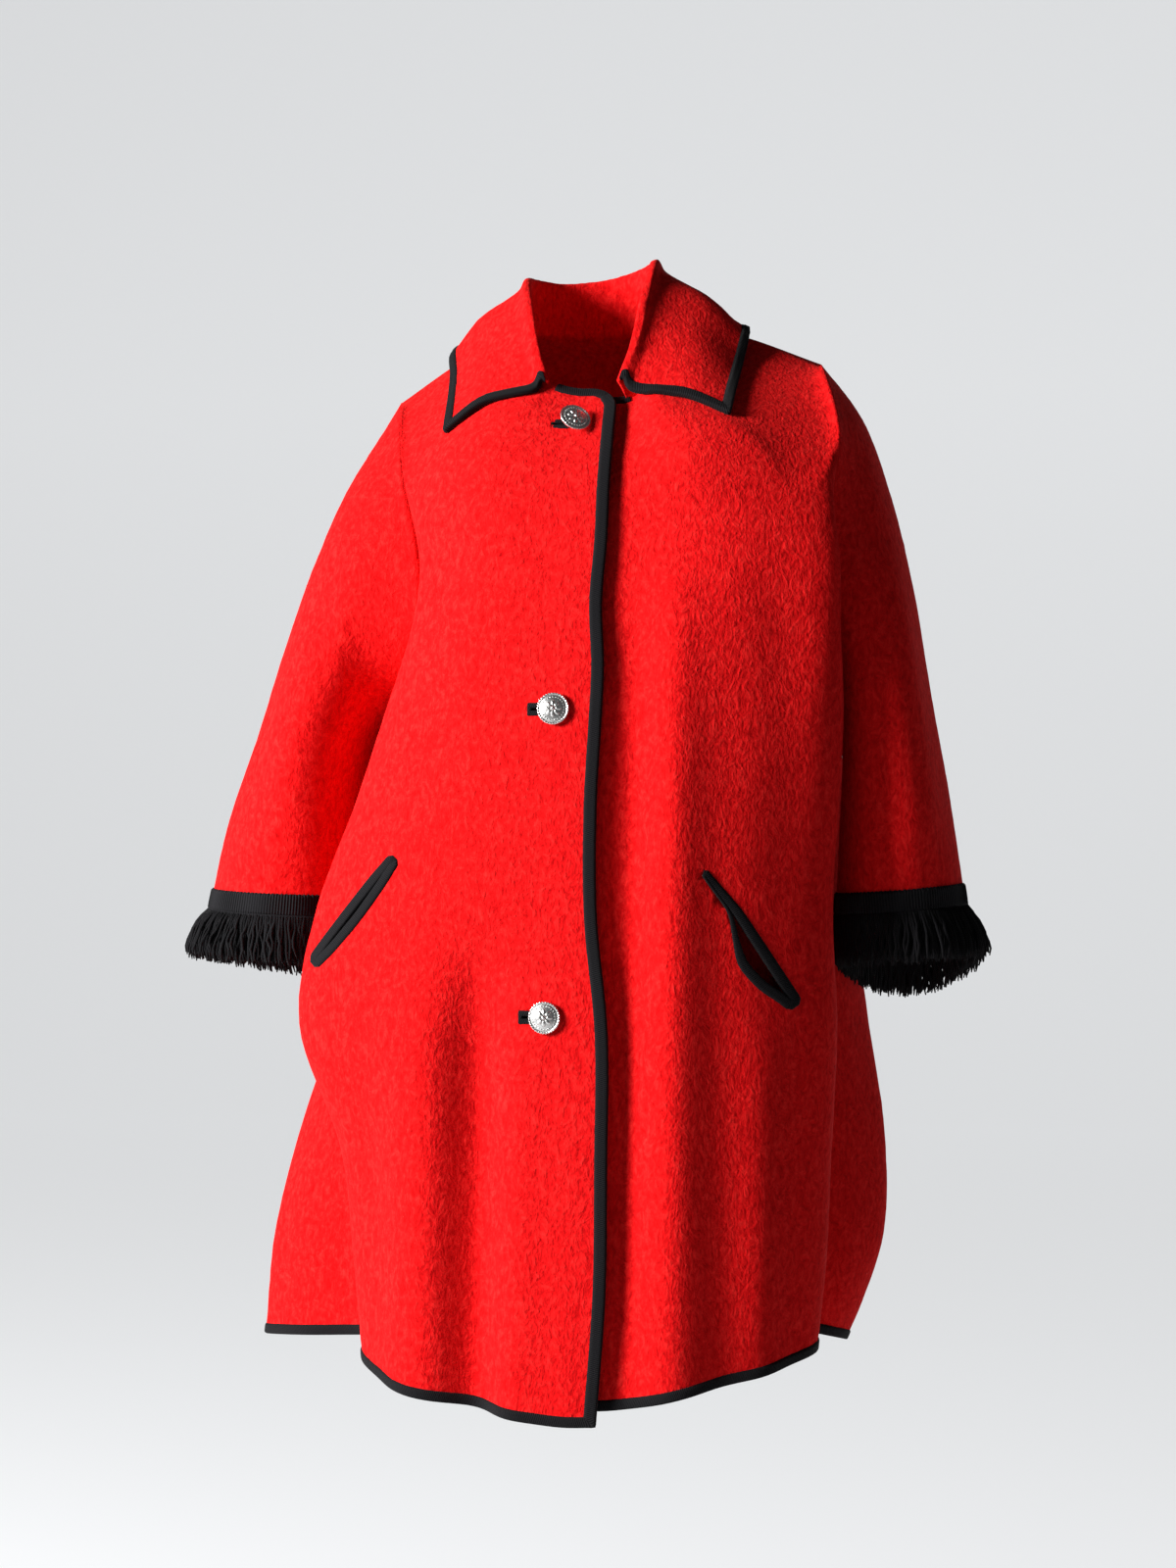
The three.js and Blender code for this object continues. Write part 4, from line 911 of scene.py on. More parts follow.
redWool = woolMaterial("redWool", wool["colours"], wool["relief"])
# the pocket bag: the same wool in darker colours, painted shade inside the pocket
pocketWoolPaintedShade = woolMaterial("pocketWoolPaintedShade", wool["pocketPaintedShadeColours"], wool["pocketRelief"])


def braidMaterial(name, pitch, slant, relief):
    material, tree, shader, ribs = newMaterial(name, ribGroup, {
        "Roughness": 0.8,
        "Sheen Weight": 0.04,
        "Sheen Roughness": 0.4,
        "Specular IOR Level": 0.12,
    })
    ribs.inputs["Rib Pitch"].default_value = pitch
    ribs.inputs["Slant"].default_value = slant
    height = mathNode(tree, "ADD", ribs.outputs["Rib"], times(tree, ribs.outputs["Fuzz"], 0.6))
    # colour follows the rib height: painted shade in the grooves and a painted highlight on the crests, with
    # random fuzz tone
    colour = colourRamp(tree, height, [(0.2, (0.0012, 0.0012, 0.0015)), (0.9, (0.0075, 0.007, 0.0085))])
    tree.links.new(colour, shader.inputs["Base Color"])
    bump(tree, shader, height, relief, 0.7)
    return material


bindingBraid = braidMaterial("bindingBraid", 1.7, 0.5, 0.0005)
cuffBraid = braidMaterial("cuffBraid", 2.6, 0.0, 0.0009)
yarn = braidMaterial("yarn", 2.0, 1.2, 0.0006)
print("materials made")


# Cloth pieces. Each sheet's flat size is the cut of what shows, all round on a sleeve.
cloths = {
    "right_front_cloth": ("rightFront", "right_front", (0.42, 0.99), 0.31),
    "left_front_cloth": ("leftFront", "left_front", (0.44, 0.99), 0.34),
    "back_cloth": ("back", "back", (0.9, 1.0), 0.66),
    "right_sleeve_cloth": ("rightSleeve", "right_sleeve", (0.6, 0.5), 0.185),
    "left_sleeve_cloth": ("leftSleeve", "left_sleeve", (0.56, 0.5), 0.155),
    "collar_cloth": ("collar", "collar", (0.62, 0.17), 0.082),
}
pieces = {}  # by the node they stand for
for pieceName, (gridName, node, flat, area) in cloths.items():
    pieces[node] = clothPiece(pieceName, gridName, node)
    pieces[node].data.materials.append(redWool)
print("cloth made")


# Bindings: a braid folded over the edge, following the cloth's own points
binding = {"skin": 1.2, "lift": 0.25, "steps": fine}


def edgeStation(name, i, j, di, dj):
    index = [(i + k * di, j + k * dj) for k in range(binding["steps"] + 1)]
    places = np.array([grids[name][a, b] for a, b in index])
    facing = np.array([normals[name][a, b] for a, b in index])
    return places, facing


def bindingRing(places, facing):
    count = len(places)
    out = unit(places[0] - places[1])
    share = np.linspace(0, 1, count)
    high = binding["lift"] + binding["skin"] * np.sqrt(np.clip(1 - share ** 6, 0, 1))
    top = places + high[:, None] * facing
    under = places - (cut["cloth"] + high)[:, None] * facing
    middle = -cut["cloth"] / 2
    half = cut["cloth"] / 2 + binding["lift"] + binding["skin"]
    turn = []
    for angle in (60, 30, 0, -30, -60):
        a = math.radians(angle)
        away = out * (0.4 + 1.4 * math.cos(a))
        turn.append(places[0] + away + facing[0] * (middle + half * math.sin(a)))
    low = binding["lift"] * 0.4
    ends = [places[-1] - (cut["cloth"] + low) * facing[-1], places[-1] + low * facing[-1]]
    return np.array([*top[::-1], *turn, *under, *ends])


def sweepRings(rings, closed=False):  # joins rings of matching points, with a map in millimetres
    rings = np.asarray(rings)
    count, size = rings.shape[:2]
    steps = np.linalg.norm(np.diff(rings, axis=0), axis=2).mean(axis=1)
    run = np.concatenate([[0], np.cumsum(steps)])
    sides = np.linalg.norm(np.diff(rings.mean(axis=0), axis=0), axis=1)
    across = np.concatenate([[0], np.cumsum(sides)])
    vertices = rings.reshape(-1, 3)
    if closed:
        i, j = np.meshgrid(np.arange(count), np.arange(size), indexing="ij")
        after, beside = (i + 1) % count, (j + 1) % size
        corners = (i * size + j, i * size + beside, after * size + beside, after * size + j)
        faces = [list(f) for f in np.stack(corners, -1).reshape(-1, 4)]
    else:
        faces = [list(f) for f in quadsOf(count, size, True)]
        faces.append(list(range(size))[::-1])
        faces.append([(count - 1) * size + k for k in range(size)])
    uv = np.stack(np.meshgrid(run, across, indexing="ij"), axis=-1).reshape(-1, 2)
    return vertices, faces, uv


def selectOnly(*things):  # the first one becomes the active one
    bpy.ops.object.select_all(action="DESELECT")
    for thing in things:
        thing.select_set(True)
    bpy.context.view_layer.objects.active = things[0]


def tidyNormals(piece):  # turns the faces of a closed piece outwards
    selectOnly(piece)
    bpy.ops.object.mode_set(mode="EDIT")
    bpy.ops.mesh.select_all(action="SELECT")
    bpy.ops.mesh.normals_make_consistent(inside=False)
    bpy.ops.object.mode_set(mode="OBJECT")


def sweptBinding(name, rings, node, closed=False):
    vertices, faces, uv = sweepRings(rings, closed)
    piece = addPiece(name, vertices, faces, [node], uv)
    tidyNormals(piece)
    piece.data.materials.append(bindingBraid)


def leaned(station, corner, share):  # fans a station's inner points out towards a corner's
    places, facing = station
    blend = np.linspace(0, 1, len(places))[:, None] * share
    return places + blend * (corner[0] - places), facing + blend * (corner[1] - facing)


def frontBindingRings(name, neckColumns):  # neck edge, corner, front edge, corner, hem
    rows, count = grids[name].shape[:2]
    last = rows - 1

    def neck(j):
        return edgeStation(name, 0, j, 1, 0)

    def front(i):
        return edgeStation(name, i, 0, 0, 1)

    def hem(j):
        return edgeStation(name, last, j, -1, 0)

    high, low = edgeStation(name, 0, 0, 1, 1), edgeStation(name, last, 0, -1, 1)
    stations = [neck(j) for j in range(neckColumns * fine, fine, -1)]
    stations += [leaned(neck(j), high, 1 - j / (fine + 1)) for j in range(fine, 0, -1)]
    stations.append(high)
    stations += [leaned(front(i), high, max(1 - i / (fine + 1), 0)) for i in range(1, last - fine + 1)]
    stations += [leaned(front(last - k), low, 1 - k / fine) for k in range(fine - 1, 0, -1)]
    stations.append(low)
    stations += [leaned(hem(j), low, max(1 - j / fine, 0)) for j in range(1, count)]
    return [bindingRing(*station) for station in stations]


def collarBindingRings():  # right end, corner, fall edge, corner, left end
    rows, count = grids["collar"].shape[:2]
    last, end, start = rows - 1, count - 1, 3 * fine

    def rightEnd(i):
        return edgeStation("collar", i, 0, 0, 1)

    def leftEnd(i):
        return edgeStation("collar", i, end, 0, -1)

    def fall(j):
        return edgeStation("collar", last, j, -1, 0)

    right, left = edgeStation("collar", last, 0, -1, 1), edgeStation("collar", last, end, -1, -1)
    stations = [rightEnd(i) for i in range(start, last - fine)]
    stations += [leaned(rightEnd(last - k), right, 1 - k / fine) for k in range(fine, 0, -1)]
    stations.append(right)
    stations += [leaned(fall(k), right, 1 - k / fine) for k in range(1, fine)]
    stations += [fall(j) for j in range(fine, end - fine + 1)]
    stations += [leaned(fall(end - k), left, 1 - k / fine) for k in range(fine - 1, 0, -1)]
    stations.append(left)
    stations += [leaned(leftEnd(last - k), left, 1 - k / fine) for k in range(1, fine + 1)]
    stations += [leftEnd(i) for i in range(last - fine - 1, start - 1, -1)]
    return [bindingRing(*station) for station in stations]


hemRings = [
    bindingRing(*edgeStation("back", grids["back"].shape[0] - 1, j, -1, 0))
    for j in range(grids["back"].shape[1])
]
bindings = {
    "right_front_edge": (frontBindingRings("rightFront", 5), "right_front_binding"),
    "left_front_edge": (frontBindingRings("leftFront", 6), "left_front_binding"),
    "back_hem_edge": (hemRings, "back_hem_binding"),
    "collar_edge": (collarBindingRings(), "collar_binding"),
}
for pieceName, (rings, node) in bindings.items():
    sweptBinding(pieceName, rings, node)
print("bindings made")


# Places on a front's face, straight behind x and z
def faceSpot(name, x, z):
    hit = trees[name].ray_cast(Vector((x, -400, z)), Vector((0, 1, 0)))
    i, j = divmod(hit[2], grids[name].shape[1] - 1)
    return np.array(hit[0]), unit(normals[name][i: i + 2, j: j + 2].reshape(-1, 3).mean(axis=0))


def smoothByAngle(piece, degrees):
    selectOnly(piece)
    bpy.ops.object.shade_smooth_by_angle(angle=math.radians(degrees))


def cutWith(piece, cutters):  # cuts closed bodies out of a piece and removes them
    for cutter in cutters:
        selectOnly(piece)
        boolean = piece.modifiers.new("cut", "BOOLEAN")
        boolean.object = cutter
        boolean.operation = "DIFFERENCE"
        boolean.solver = "EXACT"
        bpy.ops.object.modifier_apply(modifier="cut")
        bpy.data.objects.remove(cutter)


def rawPiece(name, vertices, faces):  # a helper body that isn't kept
    thing = bpy.data.objects.new(name, newMesh(name, vertices, faces))
    bpy.context.scene.collection.objects.link(thing)
    tidyNormals(thing)
    return thing


# Pockets: the mouth's upper inner and lower outer end on the face, how far its lower lip hangs
# below the upper one, and how wide each lip shows, at shares of its length.
pocketTable = {
    "right": {
        "panel": "rightFront", "from": (-150, -489), "to": (-224, -576),
        "gape": [(0, 0.8), (0.15, 2.6), (0.5, 4.2), (0.85, 3.4), (1, 0.8)],
        "upper": [(0, 6.2), (0.2, 7.4), (1, 7.4)],
        "lower": [(0, 6.2), (0.2, 7.2), (1, 7.2)],
        "bow": [(0, 0), (1, 0)],
    },
    "left": {
        "panel": "leftFront", "from": (129, -499), "to": (201, -608),
        "gape": [(0, 0.8), (0.28, 1.4), (0.45, 9), (0.62, 15), (0.82, 12), (1, 1.2)],
        "upper": [(0, 4.6), (0.3, 6.8), (1, 7.4)],
        "lower": [(0, 1.6), (0.3, 1.8), (0.5, 4.5), (0.62, 7.2), (1, 7.6)],
        "bow": [(0, 0), (0.35, 2.6), (0.65, 1.6), (1, 0)],
    },
}
pocketSize = {
    "front": 6.9, "skin": 1.2, "room": 7, "depth": 120, "above": 17, "before": 8, "longer": 6,
    "past": 1.4, "proud": 9, "wall": 2.2, "mouthPast": 2.6, "cells": 16, "mouthPoints": 36,
}


def mouthFrame(pocket):
    start, end = np.array(pocket["from"], float), np.array(pocket["to"], float)
    along = unit(end - start)
    below = np.array((along[1], -along[0]))
    if below[1] > 0:
        below = -below
    return start, along, below, float(np.linalg.norm(end - start))


def smoothTable(pairs, share):
    shares, values = zip(*pairs)
    fineShares = np.linspace(0, 1, 60)
    rough = np.interp(fineShares, shares, values)
    kernel = np.ones(7) / 7
    soft = np.convolve(np.pad(rough, 3, mode="edge"), kernel, mode="valid")
    return np.interp(share, fineShares, soft)


def mouthOutline(pocket):  # points round the mouth with the width of the lip at each
    start, along, below, length = mouthFrame(pocket)
    share = (1 - np.cos(np.pi * np.linspace(0, 1, pocketSize["mouthPoints"]))) / 2
    upper = -smoothTable(pocket["bow"], share)
    gape = smoothTable(pocket["gape"], share) * np.sin(np.pi * np.clip(share, 0.012, 0.988)) ** 0.25
    lower = upper + gape
    line = start + share[:, None] * length * along
    top = line + (upper - 0.5)[:, None] * below
    bottom = line + lower[:, None] * below
    points = np.concatenate([top, bottom[::-1]])
    upperWidths, lowerWidths = (smoothTable(pocket[lip], share) for lip in ("upper", "lower"))
    return points, np.concatenate([upperWidths, lowerWidths[::-1]])


def loopNormals(points):
    tangent = unit(np.roll(points, -1, axis=0) - np.roll(points, 1, axis=0))
    side = np.stack([tangent[:, 1], -tangent[:, 0]], axis=1)
    centre = points.mean(axis=0)
    if np.sum(side * (points - centre)) < 0:
        side = -side
    for _ in range(2):
        side = unit(side + 0.5 * (np.roll(side, 1, axis=0) + np.roll(side, -1, axis=0)))
    return side


def pocketRings(pocket):
    points, widths = mouthOutline(pocket)
    side = loopNormals(points)
    rings = []
    for p, out, width in zip(points, side, widths):
        spots = [faceSpot(pocket["panel"], *(p + out * width * k / 4)) for k in range(5)]
        rings.append(bindingRing(np.array([s[0] for s in spots]), np.array([s[1] for s in spots])))
    return rings


def prism(pocket, points, depth):
    spots = [faceSpot(pocket["panel"], *p) for p in points]
    top = [place + pocketSize["proud"] * normal for place, normal in spots]
    low = [place - depth * normal for place, normal in spots]
    count = len(points)
    half = count // 2
    faces = [[k, (k + 1) % count, count + (k + 1) % count, count + k] for k in range(count)]
    for k in range(half - 1):
        a, b, c, d = k, k + 1, count - 2 - k, count - 1 - k
        faces.append([d, c, b, a])
        faces.append([count + a, count + b, count + c, count + d])
    return rawPiece("prism", np.array(top + low), faces)


def pillow(pocket, inset, middle, half):  # a flat closed pouch behind the front
    start, along, below, length = mouthFrame(pocket)
    cells = pocketSize["cells"]
    u = np.linspace(0, 1, cells + 1)
    s = inset - pocketSize["before"] + u * (length + pocketSize["longer"] - 2 * inset)
    t = inset - pocketSize["above"] + u * (pocketSize["depth"] + pocketSize["above"] - 2 * inset)
    crown = (1 - (2 * u - 1) ** 8) ** 0.5
    front, back = [], []
    for i in range(cells + 1):
        for j in range(cells + 1):
            place, normal = faceSpot(pocket["panel"], *(start + s[i] * along + t[j] * below))
            swell = max(half * min(crown[i], crown[j]), 0.35)
            front.append(place - (middle - swell) * normal)
            back.append(place - (middle + swell) * normal)
    vertices = np.array(front + back)
    quads = quadsOf(cells + 1, cells + 1, False)
    total = (cells + 1) ** 2
    border = list(range(cells + 1))
    border += [(k + 1) * (cells + 1) - 1 for k in range(1, cells + 1)]
    border += [total - 2 - k for k in range(cells)]
    border += [(cells - 1 - k) * (cells + 1) for k in range(cells - 1)]
    rim = [[a, b, b + total, a + total] for a, b in zip(border, border[1:] + border[:1])]
    return vertices, [*quads.tolist(), *(quads[:, ::-1] + total).tolist(), *rim]


for side, pocket in pocketTable.items():
    outline = mouthOutline(pocket)[0]
    cutWith(pieces[side + "_front"], [prism(pocket, outline, cut["cloth"] + pocketSize["past"])])
    sweptBinding(side + "_pocket_welt", pocketRings(pocket), side + "_pocket_binding", True)
    halfThick = pocketSize["room"] / 2 + pocketSize["skin"]
    middle = pocketSize["front"] + halfThick
    vertices, faces = pillow(pocket, 0, middle, halfThick)
    bag = addPiece(side + "_pocket_cloth", vertices, faces, [side + "_pocket_bag"])
    tidyNormals(bag)
    inner = rawPiece("room", *pillow(pocket, pocketSize["wall"], middle, halfThick - pocketSize["skin"]))
    mouthDepth = pocketSize["front"] + pocketSize["skin"] + pocketSize["mouthPast"]
    cutWith(bag, [inner, prism(pocket, outline, mouthDepth)])
    # the darker wool on the bag is painted shade inside the pocket
    bag.data.materials.append(pocketWoolPaintedShade)
    smoothByAngle(bag, 40)
print("pockets made")


# Buttons and bound buttonholes, by their places on the right front
buttonPlaces = [(5, -100, 0.42, 5.0), (-3, -355, 0.06, 0.6), (-8, -622, 0, 0)]  # with turn and lift
button = {
    "radius": 14, "above": 1.3, "beads": 26, "beadsAt": 10.1, "petals": 8, "petalsAt": 5.1,
    "ropeTurns": 34, "ropeRadius": 0.95, "ropeIn": 0.9, "ropeHigh": 2.1, "rim": 1.5, "shank": 1.6,
    "shankLength": 8.5, "shankAbove": 2,
    "steps": [  # each extrusion of the head: how much higher, and how wide against the last
        (1.0, 1.11), (1.2, 1.0), (0.6, 0.93), (-0.5, 0.93), (0.5, 0.9), (0.9, 0.72), (0.5, 0.6), (0.25, 0.4),
    ],
}
buttonhole = {
    "length": 30, "height": 12, "thick": 4.6, "offset": -9, "slit": 25, "slitHeight": 2.2,
    "window": (26, 3.6, 24),  # cut through the cloth behind it
}


def frameAt(x, z):
    place, normal = faceSpot("rightFront", x, z)
    up = unit(np.array((0, 0, 1)) - normal[2] * normal)
    across = np.cross(up, normal)
    return Matrix((
        (across[0], up[0], normal[0], place[0] * millimetre),
        (across[1], up[1], normal[1], place[1] * millimetre),
        (across[2], up[2], normal[2], place[2] * millimetre),
        (0, 0, 0, 1),
    ))


def joined(things, name):
    selectOnly(*things)
    bpy.ops.object.join()
    whole = bpy.context.object
    whole.name = name
    whole.data.name = name
    return whole


def buttonRope():  # the rim, a ring twisted into a rope
    ring = (button["radius"] - button["ropeIn"]) * millimetre
    bpy.ops.mesh.primitive_torus_add(
        major_segments=144, minor_segments=10, major_radius=ring,
        minor_radius=button["ropeRadius"] * millimetre, location=(0, 0, button["ropeHigh"] * millimetre))
    rope = bpy.context.object
    for vertex in rope.data.vertices:
        x, y, z = vertex.co
        around, reach = math.atan2(y, x), math.hypot(x, y)
        turn = math.atan2(z, reach - ring)
        wave = 1 + 0.2 * math.sin(button["ropeTurns"] * around + 2 * turn)
        out = ring + (reach - ring) * wave
        vertex.co = (math.cos(around) * out, math.sin(around) * out, z * wave)
    return rope


def addBall(segments, rings, radius, place):
    bpy.ops.mesh.primitive_uv_sphere_add(
        segments=segments, ring_count=rings, radius=radius * millimetre,
        location=[v * millimetre for v in place])
    return bpy.context.object


def buttonHead():  # modelled once at the origin, face up along +Z
    bpy.ops.object.select_all(action="DESELECT")
    bpy.ops.mesh.primitive_circle_add(
        vertices=72, radius=(button["radius"] - button["rim"]) * millimetre, fill_type="NGON",
        location=(0, 0, 0))
    head = bpy.context.object
    bpy.ops.object.mode_set(mode="EDIT")
    bpy.ops.mesh.select_all(action="SELECT")
    for height, scale in button["steps"]:
        move = {"value": (0, 0, height * millimetre)}
        bpy.ops.mesh.extrude_region_move(TRANSFORM_OT_translate=move)
        bpy.ops.transform.resize(value=(scale, scale, 1), center_override=(0, 0, 0))
    bpy.ops.mesh.inset(thickness=1.2 * millimetre)
    bpy.ops.object.mode_set(mode="OBJECT")
    things = [head, buttonRope()]
    for k in range(button["petals"]):  # a plain flower: petals round a raised middle
        angle = 2 * math.pi * k / button["petals"]
        reach = button["petalsAt"]
        petal = addBall(14, 8, 1, (reach * math.cos(angle), reach * math.sin(angle), 4.0))
        petal.scale = (3.0, 1.65, 1.0)
        petal.rotation_euler = (0, math.radians(14), angle)
        things.append(petal)
    for k in range(button["beads"]):
        angle = 2 * math.pi * (k + 0.5) / button["beads"]
        reach = button["beadsAt"]
        things.append(addBall(8, 5, 0.85, (reach * math.cos(angle), reach * math.sin(angle), 2.75)))
    things.append(addBall(20, 10, 2.1, (0, 0, 4.3)))
    selectOnly(*things)
    bpy.ops.object.transform_apply(location=True, rotation=True, scale=True)
    whole = joined(things, "button_head")
    smoothByAngle(whole, 35)
    return whole


def buildSilver():
    material, tree, shader, _ = newMaterial("agedSilver", None, {
        "Metallic": 1.0, "Roughness": 0.3, "Specular IOR Level": 0.5})
    place = tree.nodes.new("ShaderNodeTexCoord").outputs["Object"]
    dirt = addNode(tree, "ShaderNodeAmbientOcclusion", samples=8, only_local=True)
    dirt.inputs["Distance"].default_value = 0.002
    noise = addNode(tree, "ShaderNodeTexNoise", noise_dimensions="3D")
    noise.inputs["Scale"].default_value = 700
    noise.inputs["Detail"].default_value = 4
    tree.links.new(place, noise.inputs["Vector"])
    worn = mathNode(tree, "MULTIPLY_ADD", noise.outputs["Fac"], 0.35)
    tree.links.new(times(tree, dirt.outputs["AO"], 0.75), worn.node.inputs[2])
    tarnished, plain, rubbed = (0.06, 0.058, 0.055), (0.62, 0.61, 0.59), (0.9, 0.9, 0.88)
    colour = colourRamp(tree, worn, [(0.25, tarnished), (0.72, plain), (0.95, rubbed)])
    tree.links.new(colour, shader.inputs["Base Color"])
    rough = mathNode(tree, "SUBTRACT", 0.62, times(tree, worn, 0.38))
    tree.links.new(rough, shader.inputs["Roughness"])
    bump(tree, shader, noise.outputs["Fac"], 0.00025, 0.35)
    return material


agedSilver = buildSilver()


def addBox(size, place=(0, 0, 0)):  # in millimetres
    bpy.ops.object.select_all(action="DESELECT")
    bpy.ops.mesh.primitive_cube_add(size=1, location=[v * millimetre for v in place])
    box = bpy.context.object
    box.scale = [v * millimetre for v in size]
    bpy.ops.object.transform_apply(location=True, rotation=True, scale=True)
    return box


def buttonholeLips():  # a bound hole: two rounded lips that meet at the slit, at the origin
    lips = addBox([buttonhole[k] for k in ("length", "height", "thick")])
    rounded = lips.modifiers.new("round", "BEVEL")
    rounded.width = 1.5 * millimetre
    rounded.segments = 4
    bpy.ops.object.modifier_apply(modifier="round")
    slit = addBox((buttonhole["slit"], buttonhole["slitHeight"], 3 * buttonhole["thick"]), (1, 0, 0))
    cutWith(lips, [slit])
    selectOnly(lips)
    soft = lips.modifiers.new("soft", "BEVEL")
    soft.width = 0.7 * millimetre
    soft.segments = 3
    soft.limit_method = "ANGLE"
    soft.angle_limit = math.radians(50)
    bpy.ops.object.modifier_apply(modifier="soft")
    smoothByAngle(lips, 40)
    return lips


def placedCopy(model, matrix, name):
    piece = model.copy()
    piece.data = model.data.copy()
    piece.name = name
    piece.data.name = name
    piece.data.transform(matrix)
    bpy.context.scene.collection.objects.link(piece)
    piece.data.materials.clear()
    return piece


def boxMap(mesh):  # a map in millimetres for the ribs of small trim
    layer = mesh.uv_layers.new(name="UVMap") if not mesh.uv_layers else mesh.uv_layers[0]
    for loop in mesh.loops:
        x, y, _ = mesh.vertices[loop.vertex_index].co
        layer.data[loop.index].uv = (x / millimetre, y / millimetre)


def upBy(distance):
    return Matrix.Translation((0, 0, distance * millimetre))


headModel, lipsModel = buttonHead(), buttonholeLips()
boxMap(lipsModel.data)
for k, (x, z, turn, lift) in enumerate(buttonPlaces):
    name = str(k + 1)
    base = frameAt(x, z)
    hole = base @ Matrix.Translation((buttonhole["offset"] * millimetre, 0, -cut["cloth"] / 2 * millimetre))
    window = addBox(buttonhole["window"])
    window.data.transform(hole)
    cutWith(pieces["right_front"], [window])
    lips = placedCopy(lipsModel, hole, "buttonhole_lips_" + name)
    lips.data.materials.append(bindingBraid)
    finishPiece(lips, ["buttonhole_" + name])
    turned = base @ upBy(button["above"] + lift) @ Matrix.Rotation(turn, 4, "Y")
    bpy.ops.object.select_all(action="DESELECT")
    bpy.ops.mesh.primitive_cylinder_add(
        vertices=16, radius=button["shank"] * millimetre, depth=1, location=(0, 0, 0))
    shank = bpy.context.object
    length = button["shankLength"] + lift
    middle = upBy(lift + button["shankAbove"] - length / 2)
    shank.data.transform(base @ middle @ Matrix.Diagonal((1.6, 0.7, length * millimetre, 1)))
    head = placedCopy(headModel, turned, "head")
    whole = joined([head, shank], "silver_button_" + name)
    whole.data.materials.clear()
    whole.data.materials.append(agedSilver)
    finishPiece(whole, ["button_" + name])
for model in (headModel, lipsModel):
    bpy.data.objects.remove(model)
print("buttons made")


# Cuffs: a ribbed braid with a scalloped upper edge, and a thick fringe of yarns below it
cuff = {
    "height": 19, "thick": 1.9, "clearance": 0.3, "columns": 720, "rows": 12,
    "scallop": 0.9, "scallopPitch": 4.2, "ribPitch": 2.7, "rib": 0.28, "tape": 4,
}
fringe = {
    "pitch": 2.1, "layers": 4, "radius": 1.3, "length": 42, "steps": 8, "sides": 5,
    "flare": 15, "wave": 1.3, "sway": 3.2, "layerIn": 1.5, "seed": 11,
}


def cuffEdge(name):  # the last centimetres of a sleeve, on many columns, with their outward normals
    grid, facing = grids[name], normals[name]
    t = np.arange(cuff["columns"]) / cuff["columns"]

    def around(line):
        return splineAt(line, t, True)

    columns = np.stack([around(row) for row in grid[-2 * fine:]])
    out = np.stack([unit(around(row)) for row in facing[-2 * fine:]])
    return columns, out


def pointBack(columns, out, distance):  # the point this far above the cuff's edge, along each column
    steps = np.linalg.norm(np.diff(columns[::-1], axis=0), axis=2)
    run = np.concatenate([np.zeros((1, columns.shape[1])), np.cumsum(steps, axis=0)])
    places, facing = [], []
    for j in range(columns.shape[1]):
        column, normal = columns[::-1, j], out[::-1, j]
        d = distance[j] if np.ndim(distance) else distance
        places.append([np.interp(d, run[:, j], column[:, k]) for k in range(3)])
        facing.append([np.interp(d, run[:, j], normal[:, k]) for k in range(3)])
    return np.array(places), unit(np.array(facing))


def braidPiece(name, gridName, node):
    columns, out = cuffEdge(gridName)
    edge = columns[-1]
    run = np.concatenate([[0], np.cumsum(np.linalg.norm(np.diff(edge, axis=0), axis=1))])
    total = run[-1] + np.linalg.norm(edge[0] - edge[-1])  # with the last step back to the start
    ribs = round(total / cuff["ribPitch"])
    scallops = round(total / cuff["scallopPitch"])
    wave = np.abs(np.sin(np.pi * scallops * run / total))
    ribWave = np.sin(2 * np.pi * ribs * run / total)
    top = cuff["height"] + cuff["scallop"] * wave
    rows, facings, heights = [], [], []
    for r in range(cuff["rows"] + 1):
        share = r / cuff["rows"]
        place, facing = pointBack(columns, out, top * (1 - share))
        near = min(share, 1 - share)
        edgeRound = 1 - max(0, 1 - near * 9) ** 2 * 0.7
        groove = 0.45 * math.exp(-((share - 0.8) / 0.035) ** 2)
        high = cuff["clearance"] + cuff["thick"] * edgeRound - groove
        high = high + cuff["rib"] * ribWave * min(1, 8 * near)
        rows.append(place + high[:, None] * facing)
        facings.append(facing)
        heights.append(high - cuff["clearance"])
    grid, facing, thick = np.array(rows), np.array(facings), np.array(heights)
    vertices, faces = shell(grid, facing * thick[..., None], True, 1)
    down = np.linspace(0, cuff["height"], cuff["rows"] + 1)
    uv = np.stack(np.meshgrid(run, down), axis=-1).reshape(-1, 2)
    piece = addPiece(name, vertices, faces, [node], np.concatenate([uv, uv]))
    tidyNormals(piece)
    piece.data.materials.append(cuffBraid)


